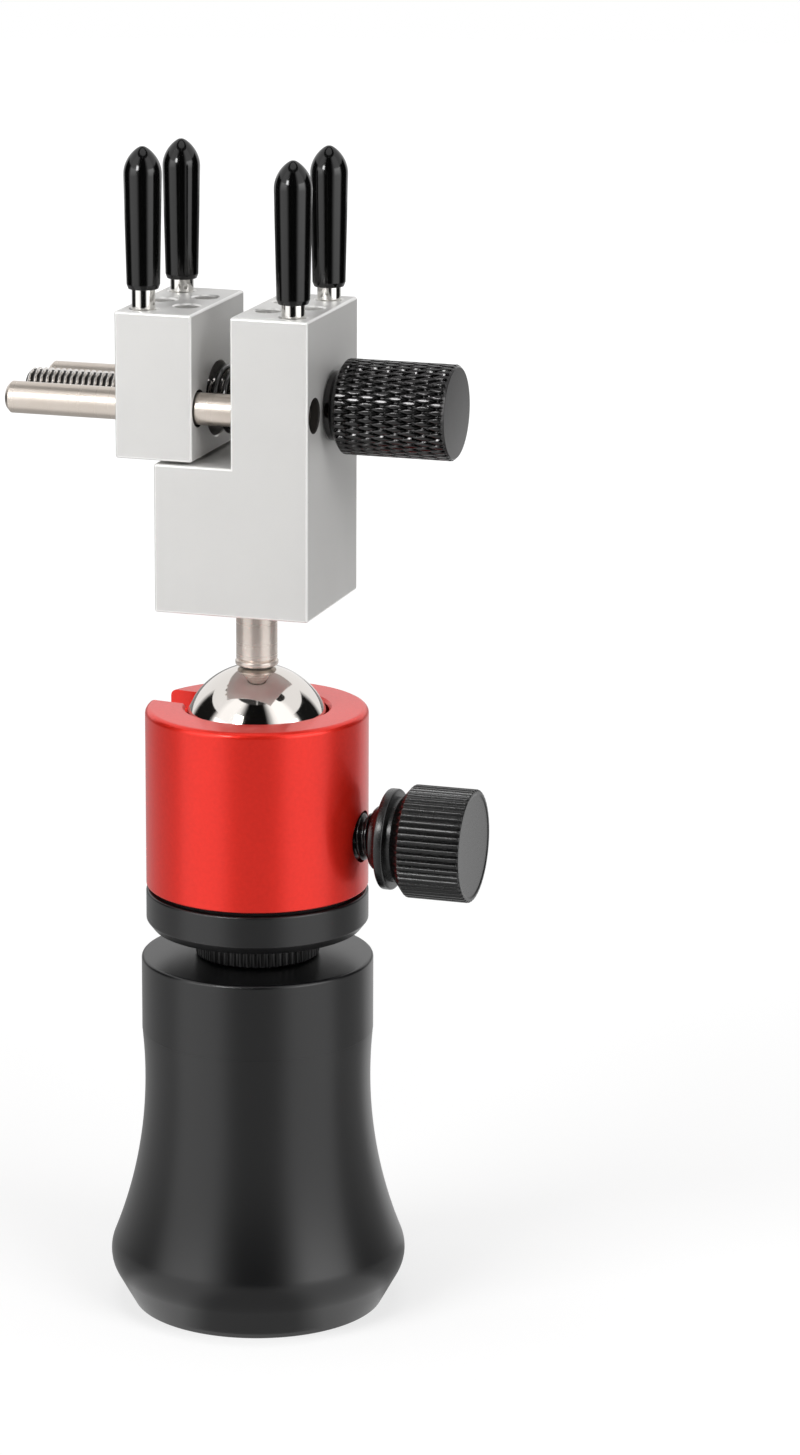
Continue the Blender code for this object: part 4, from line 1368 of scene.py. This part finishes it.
@dataclass
class JawSpring:
    """Black coil spring between the jaws, round the screw."""

    wire_radius: float = 0.4 * MM
    wire_steps: int = 4
    mean_radius: float = 3.95 * MM
    pitch: float = 1.28 * MM
    points_a_turn: int = 40

    def build(self) -> list[Object]:
        """Wind the spring from its seat in the fixed block towards the sliding one.

        Returns:
            The spring, alone in a list.
        """
        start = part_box("jaw_spring")[1].x - self.wire_radius
        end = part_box("moving_jaw")[1].x + SEAT_GAP + self.wire_radius
        turns = (start - end) / self.pitch
        count = round(turns * self.points_a_turn)
        curve = bpy.data.curves.new("return_spring", "CURVE")
        curve.dimensions = "3D"
        curve.bevel_depth = self.wire_radius
        curve.bevel_resolution = self.wire_steps
        curve.use_fill_caps = True
        spline = curve.splines.new("POLY")
        spline.points.add(count)
        for i, point in enumerate(spline.points):
            angle = FULL_TURN * turns * i / count
            along = start + (end - start) * i / count
            point.co = (along, self.mean_radius * math.cos(angle), self.mean_radius * math.sin(angle), 1)
        spring = placed("return_spring", curve)
        spring.location = (0, 0, centre_of("drive_screw")[2])
        return [fit(spring, "vise", WIRE_BLACK, "jaw_spring")]


@dataclass
class Pins:
    """Four steel pins in the blocks' tops, each with a soft sleeve."""

    pin_edge: float = 0.3 * MM
    nose_length: float = 3.45 * MM
    nose_flat: float = 0.2 * MM
    nose_power: float = 1.5
    mouth_radius: float = 2.07 * MM
    mouth_height: float = 0.55 * MM
    mouth_round: float = 0.4 * MM
    bore_depth: float = 15.0 * MM
    nose_steps: int = 16

    def pin(self, name: str) -> Object:
        """Make the bright pin of one corner.

        Args:
            name: Name of the corner.

        Returns:
            The pin.
        """
        low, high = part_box(f"pin_{name}")
        x, y, _ = centre_of(f"pin_{name}")
        outline = barrel(0, (high.x - low.x) / 2, low.z, high.z, self.pin_edge)
        piece = put(turned(f"steel_pin_{name}", outline, SMALL_COLUMNS), Direction.UP, x, y)
        return fit(piece, f"pin_{name}", PIN_STEEL, f"pin_{name}")

    def sleeve(self, name: str) -> Object:
        """Make the black sleeve of one pin, with its round nose.

        Args:
            name: Name of the corner.

        Returns:
            The sleeve.
        """
        low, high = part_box(f"cap_{name}")
        pin_low, pin_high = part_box(f"pin_{name}")
        widest, bore = (high.x - low.x) / 2, (pin_high.x - pin_low.x) / 2 + TURN_GAP
        shoulder = high.z - self.nose_length
        nose = []
        for angle in np.linspace(0, math.pi / 2, self.nose_steps + 1):
            radius = self.nose_flat + (widest - self.nose_flat) * math.sin(angle) ** self.nose_power
            nose.append(Corner(radius, shoulder + self.nose_length * math.cos(angle)))
        outline = [
            Corner(0, high.z),
            *nose,
            Corner(self.mouth_radius, low.z + self.mouth_height, self.mouth_round),
            Corner((self.mouth_radius + bore) / 2, low.z, self.mouth_round / 8),
            *pocket(bore, low.z, low.z + self.bore_depth),
        ]
        x, y, _ = centre_of(f"cap_{name}")
        piece = put(turned(f"vinyl_sleeve_{name}", outline, SMALL_COLUMNS), Direction.UP, x, y)
        return fit(piece, f"pin_{name}", SLEEVE_VINYL, f"cap_{name}")

    def build(self) -> list[Object]:
        """Make all four pins and sleeves."""
        names = [f"{side}_{row}" for side in ("left", "right") for row in ("front", "back")]
        return [make(name) for name in names for make in (self.pin, self.sleeve)]


@dataclass(frozen=True)
class Softbox:
    """A square softbox that lights the object evenly from one side.

    azimuth_deg counts from the camera's side to the right, and level is how bright a white
    surface that faces the softbox gets from it, where 1 is full white. A lamp's power for that
    is level times the square of pi and of its distance.
    """

    name: str
    azimuth_deg: float
    elevation_deg: float
    level: float
    distance: float = 1.2
    width: float = 0.6

    def build(self, target: Vector, facing_deg: float) -> None:
        """Hang the softbox, turned to its target and unseen in reflections.

        Args:
            target: Point that it looks at.
            facing_deg: The camera's own azimuth.
        """
        lamp = bpy.data.lights.new(self.name, "AREA")
        lamp.size = self.width
        lamp.energy = self.level * math.pi**2 * self.distance**2
        lit = placed(self.name, lamp)
        away = heading(facing_deg + self.azimuth_deg, self.elevation_deg)
        turn = (-away).to_track_quat("-Z", "Y").to_matrix().to_4x4()
        lit.matrix_world = Matrix.Translation(target + away * self.distance) @ turn
        lit.visible_glossy = False


@dataclass(frozen=True)
class Card:
    """A curved card round the object that only reflections show.

    Its outline of (radius, height) is turned about Z from one azimuth to another, counted from
    the camera's side to the right. Its brightness, where 1 is white, is low up to the height
    hold and goes to high at the height fade, and its two ends thin out over feather_deg.
    """

    name: str
    start_deg: float
    end_deg: float
    outline: tuple[tuple[float, float], ...]
    low: float
    high: float
    fade: float = 1.0
    feather_deg: float = 10.0
    hold: float = 0.0
    step_deg: float = 2.5

    def mesh(self, facing_deg: float) -> bpy.types.Mesh:
        """Turn the outline, with an attribute that says how well each point covers.

        Args:
            facing_deg: The camera's own azimuth.

        Returns:
            The card's mesh.
        """
        count = math.ceil((self.end_deg - self.start_deg) / self.step_deg)
        azimuths = np.linspace(self.start_deg, self.end_deg, count + 1)
        inward = np.minimum(azimuths - self.start_deg, self.end_deg - azimuths)
        covers = np.clip(inward / self.feather_deg, 0, 1)
        turns = np.radians(facing_deg + azimuths)
        places = [(r * math.sin(a), -r * math.cos(a), z) for a in turns for r, z in self.outline]
        rows = len(self.outline)
        corners = [i * rows + j for i in range(count) for j in range(rows - 1)]
        mesh = bpy.data.meshes.new(self.name)
        mesh.from_pydata(places, [], [(c, c + rows, c + rows + 1, c + 1) for c in corners])
        mesh.attributes.new("cover", "FLOAT", "POINT").data.foreach_set("value", np.repeat(covers, rows))
        return mesh

    def build(self, facing_deg: float) -> None:
        """Stand the card and give it its glow.

        Args:
            facing_deg: The camera's own azimuth.
        """
        card = placed(self.name, self.mesh(facing_deg))
        material = bpy.data.materials.new(self.name)
        tree = blank_tree(material)
        material.cycles.emission_sampling = "NONE"
        place = add_node(tree, "TexCoord").outputs["Object"]
        height = add_node(tree, "SeparateXYZ", {}, {0: place}).outputs[2]
        limits = {"From Min": self.hold, "From Max": self.fade, "To Min": self.low, "To Max": self.high}
        strength = add_node(tree, "MapRange", limits, {"Value": height}).outputs[0]
        glow = add_node(tree, "Emission", {"Color": linear(WHITE)}, {"Strength": strength})
        cover = add_node(tree, "Attribute", {"attribute_name": "cover"}).outputs["Fac"]
        clear = add_node(tree, "BsdfTransparent").outputs[0]
        blend = add_node(tree, "MixShader", {}, {0: cover, 1: clear, 2: glow.outputs[0]}).outputs[0]
        add_node(tree, "OutputMaterial", {}, {"Surface": blend})
        card.data.materials.append(material)
        card.visible_camera = card.visible_diffuse = card.visible_shadow = False


# Outlines of the cards as (radius, height). The walls start under the foot's edge, run over the
# floor and stand up round the object. The rest hang beside it or above it.
WALL = ((0.0165, 0.0004), (0.25, 0.0004), (0.25, 0.2), (0.17, 0.43))
SIDE_WALL = ((0.0165, 0.0004), (0.25, 0.0004), (0.25, 0.25))
FAR_WALL = ((0.0165, 0.0002), (0.27, 0.0002), (0.27, 0.1))
WINDOW = ((0.32, 0.04), (0.32, 0.25))
HIGH_WINDOW = ((0.32, 0.25), (0.17, 0.44))
LAMP = ((0.215, 0.205), (0.19, 0.255))
RIM = ((0.11, 0.45), (0.17, 0.43))
CEILING = ((0.0, 0.45), (0.11, 0.45))


@dataclass
class Studio:
    """White floor and backdrop, three softboxes, and cards that give shiny pieces their streaks."""

    target: Vector
    facing_deg: float
    floor_radius: float = 1.4
    ambient: float = 0.14
    paper: str = "#F2F2F2"
    paper_glow: float = 1.12
    paper_share: float = 0.4
    paper_reach: float = 0.5
    softboxes: tuple[Softbox, ...] = (
        Softbox("left_softbox", -50, 34, 0.57),
        Softbox("right_softbox", 42, 34, 0.43),
        Softbox("top_softbox", 0, 86, 0.32),
    )
    cards: tuple[Card, ...] = (
        Card("front_card", -38, 32, WALL, 0.4, 0.004, 0.075, feather_deg=14, hold=0.03),
        Card("left_card", -134, -78, SIDE_WALL, 0.5, 0.01, 0.07),
        Card("left_back_card", -190, -118, FAR_WALL, 0.5, 0.2, 0.1),
        Card("right_card", 72, 132, SIDE_WALL, 0.42, 0.01, 0.07),
        Card("right_back_card", 112, 172, FAR_WALL, 0.85, 0.2, 0.1),
        Card("left_window", -84, -34, WINDOW, 0.5, 2.9, 0.24, feather_deg=12),
        Card("left_high_window", -84, -34, HIGH_WINDOW, 1.3, 1.3, feather_deg=12),
        Card("right_window", 28, 80, WINDOW, 0.6, 4.0, 0.24, feather_deg=12),
        Card("right_high_window", 28, 80, HIGH_WINDOW, 1.4, 1.4, feather_deg=12),
        Card("left_lamp", -44, -27, LAMP, 20.0, 20.0, feather_deg=4),
        Card("rim_card", 0, 360, RIM, 0.05, 0.05, feather_deg=0.01),
        Card("ceiling_card", 0, 360, CEILING, 1.0, 1.0, feather_deg=0.01),
    )

    def seen(self, tree: NodeTree) -> NodeSocket:
        """Give 1 to camera, mirror and glass rays, and 0 to the rest.

        Args:
            tree: Node tree that takes the nodes.

        Returns:
            The socket.
        """
        path = add_node(tree, "LightPath")
        seen = path.outputs["Is Camera Ray"]
        for other in ("Is Glossy Ray", "Is Transmission Ray"):
            links = {0: seen, 1: path.outputs[other]}
            seen = add_node(tree, "Math", {"operation": "MAXIMUM"}, links).outputs[0]
        return seen

    def world(self) -> None:
        """White world to the eye and to metal, and a plain grey fill to everything else."""
        world = bpy.data.worlds.new("studio_world")
        tree = blank_tree(world)
        world.cycles.sampling_method = "NONE"
        fill = {"To Min": self.ambient}
        strength = add_node(tree, "MapRange", fill, {"Value": self.seen(tree)}).outputs[0]
        glow = add_node(tree, "Background", {"Color": linear(WHITE)}, {"Strength": strength})
        add_node(tree, "OutputWorld", {}, {"Surface": glow.outputs[0]})
        bpy.context.scene.world = world

    def floor(self) -> None:
        """White floor that keeps a soft shadow near the object and fades into the backdrop."""
        shape = bmesh.new()
        bmesh.ops.create_circle(shape, cap_ends=True, segments=FINE_COLUMNS, radius=self.floor_radius)
        floor = meshed("studio_floor", shape)
        material = bpy.data.materials.new("white_paper_sweep")
        tree = blank_tree(material)
        material.cycles.emission_sampling = "NONE"
        paper = add_node(tree, "BsdfDiffuse", {"Color": linear(self.paper)}).outputs[0]
        light = {"Color": linear(WHITE), "Strength": self.paper_glow}
        glow = add_node(tree, "Emission", light).outputs[0]
        place = add_node(tree, "TexCoord").outputs["Object"]
        away = add_node(tree, "VectorMath", {"operation": "LENGTH"}, {0: place}).outputs["Value"]
        limits = {"From Max": self.paper_reach, "To Min": 1 - self.paper_share}
        faded = add_node(tree, "MapRange", limits, {"Value": away}).outputs[0]
        links = {0: faded, 1: self.seen(tree)}
        share = add_node(tree, "Math", {"operation": "MULTIPLY"}, links).outputs[0]
        mixed = add_node(tree, "MixShader", {}, {0: share, 1: paper, 2: glow}).outputs[0]
        add_node(tree, "OutputMaterial", {}, {"Surface": mixed})
        floor.data.materials.append(material)

    def build(self) -> None:
        """Set up the world, the floor, the softboxes and the cards."""
        self.world()
        self.floor()
        for softbox in self.softboxes:
            softbox.build(self.target, self.facing_deg)
        for card in self.cards:
            card.build(self.facing_deg)


@dataclass
class Viewpoint:
    """The photograph's camera: where it stands, and how it is turned from its target."""

    target: Vector
    azimuth_deg: float = 18.938
    elevation_deg: float = 14.658
    distance: float = 623.729 * MM
    yaw_deg: float = 1.659
    pitch_deg: float = 0.088
    roll_deg: float = 0.151
    lens_mm: float = 122.095
    nearest: float = 10 * MM
    farthest: float = 100.0

    def build(self) -> None:
        """Stand the camera and make it the scene's own."""
        away = heading(self.azimuth_deg, self.elevation_deg)
        turn = away.to_track_quat("Z", "Y").to_matrix()
        for angle_deg, axis in ((-self.yaw_deg, "Y"), (self.pitch_deg, "X"), (-self.roll_deg, "Z")):
            turn = turn @ Matrix.Rotation(math.radians(angle_deg), 3, axis)
        data = bpy.data.cameras.new("photograph_camera")
        data.lens = self.lens_mm
        data.clip_start, data.clip_end = self.nearest, self.farthest
        camera = placed("photograph_camera", data)
        camera.matrix_world = Matrix.Translation(self.target + away * self.distance) @ turn.to_4x4()
        bpy.context.scene.camera = camera


def main() -> None:
    """Build every sub-assembly, then the studio and the camera."""
    logging.basicConfig(level=logging.INFO, format="%(message)s")
    bpy.context.scene.view_settings.view_transform = "Standard"
    assemblies = (
        Foot(), Head(), BallLock(), BallAndStem(), Jaws(), Guides(), DriveScrew(), JawSpring(), Pins()
    )
    for assembly in assemblies:
        for piece in assembly.build():
            LOG.info("%s: %s rides on %s", type(assembly).__name__, piece.name, piece["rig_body"])
    low, high = CAD_BOX
    middle = Vector((0, 0, (low.z + high.z) / 2))
    viewpoint = Viewpoint(middle)
    Studio(middle, viewpoint.azimuth_deg).build()
    viewpoint.build()


if __name__ == "__main__":
    main()
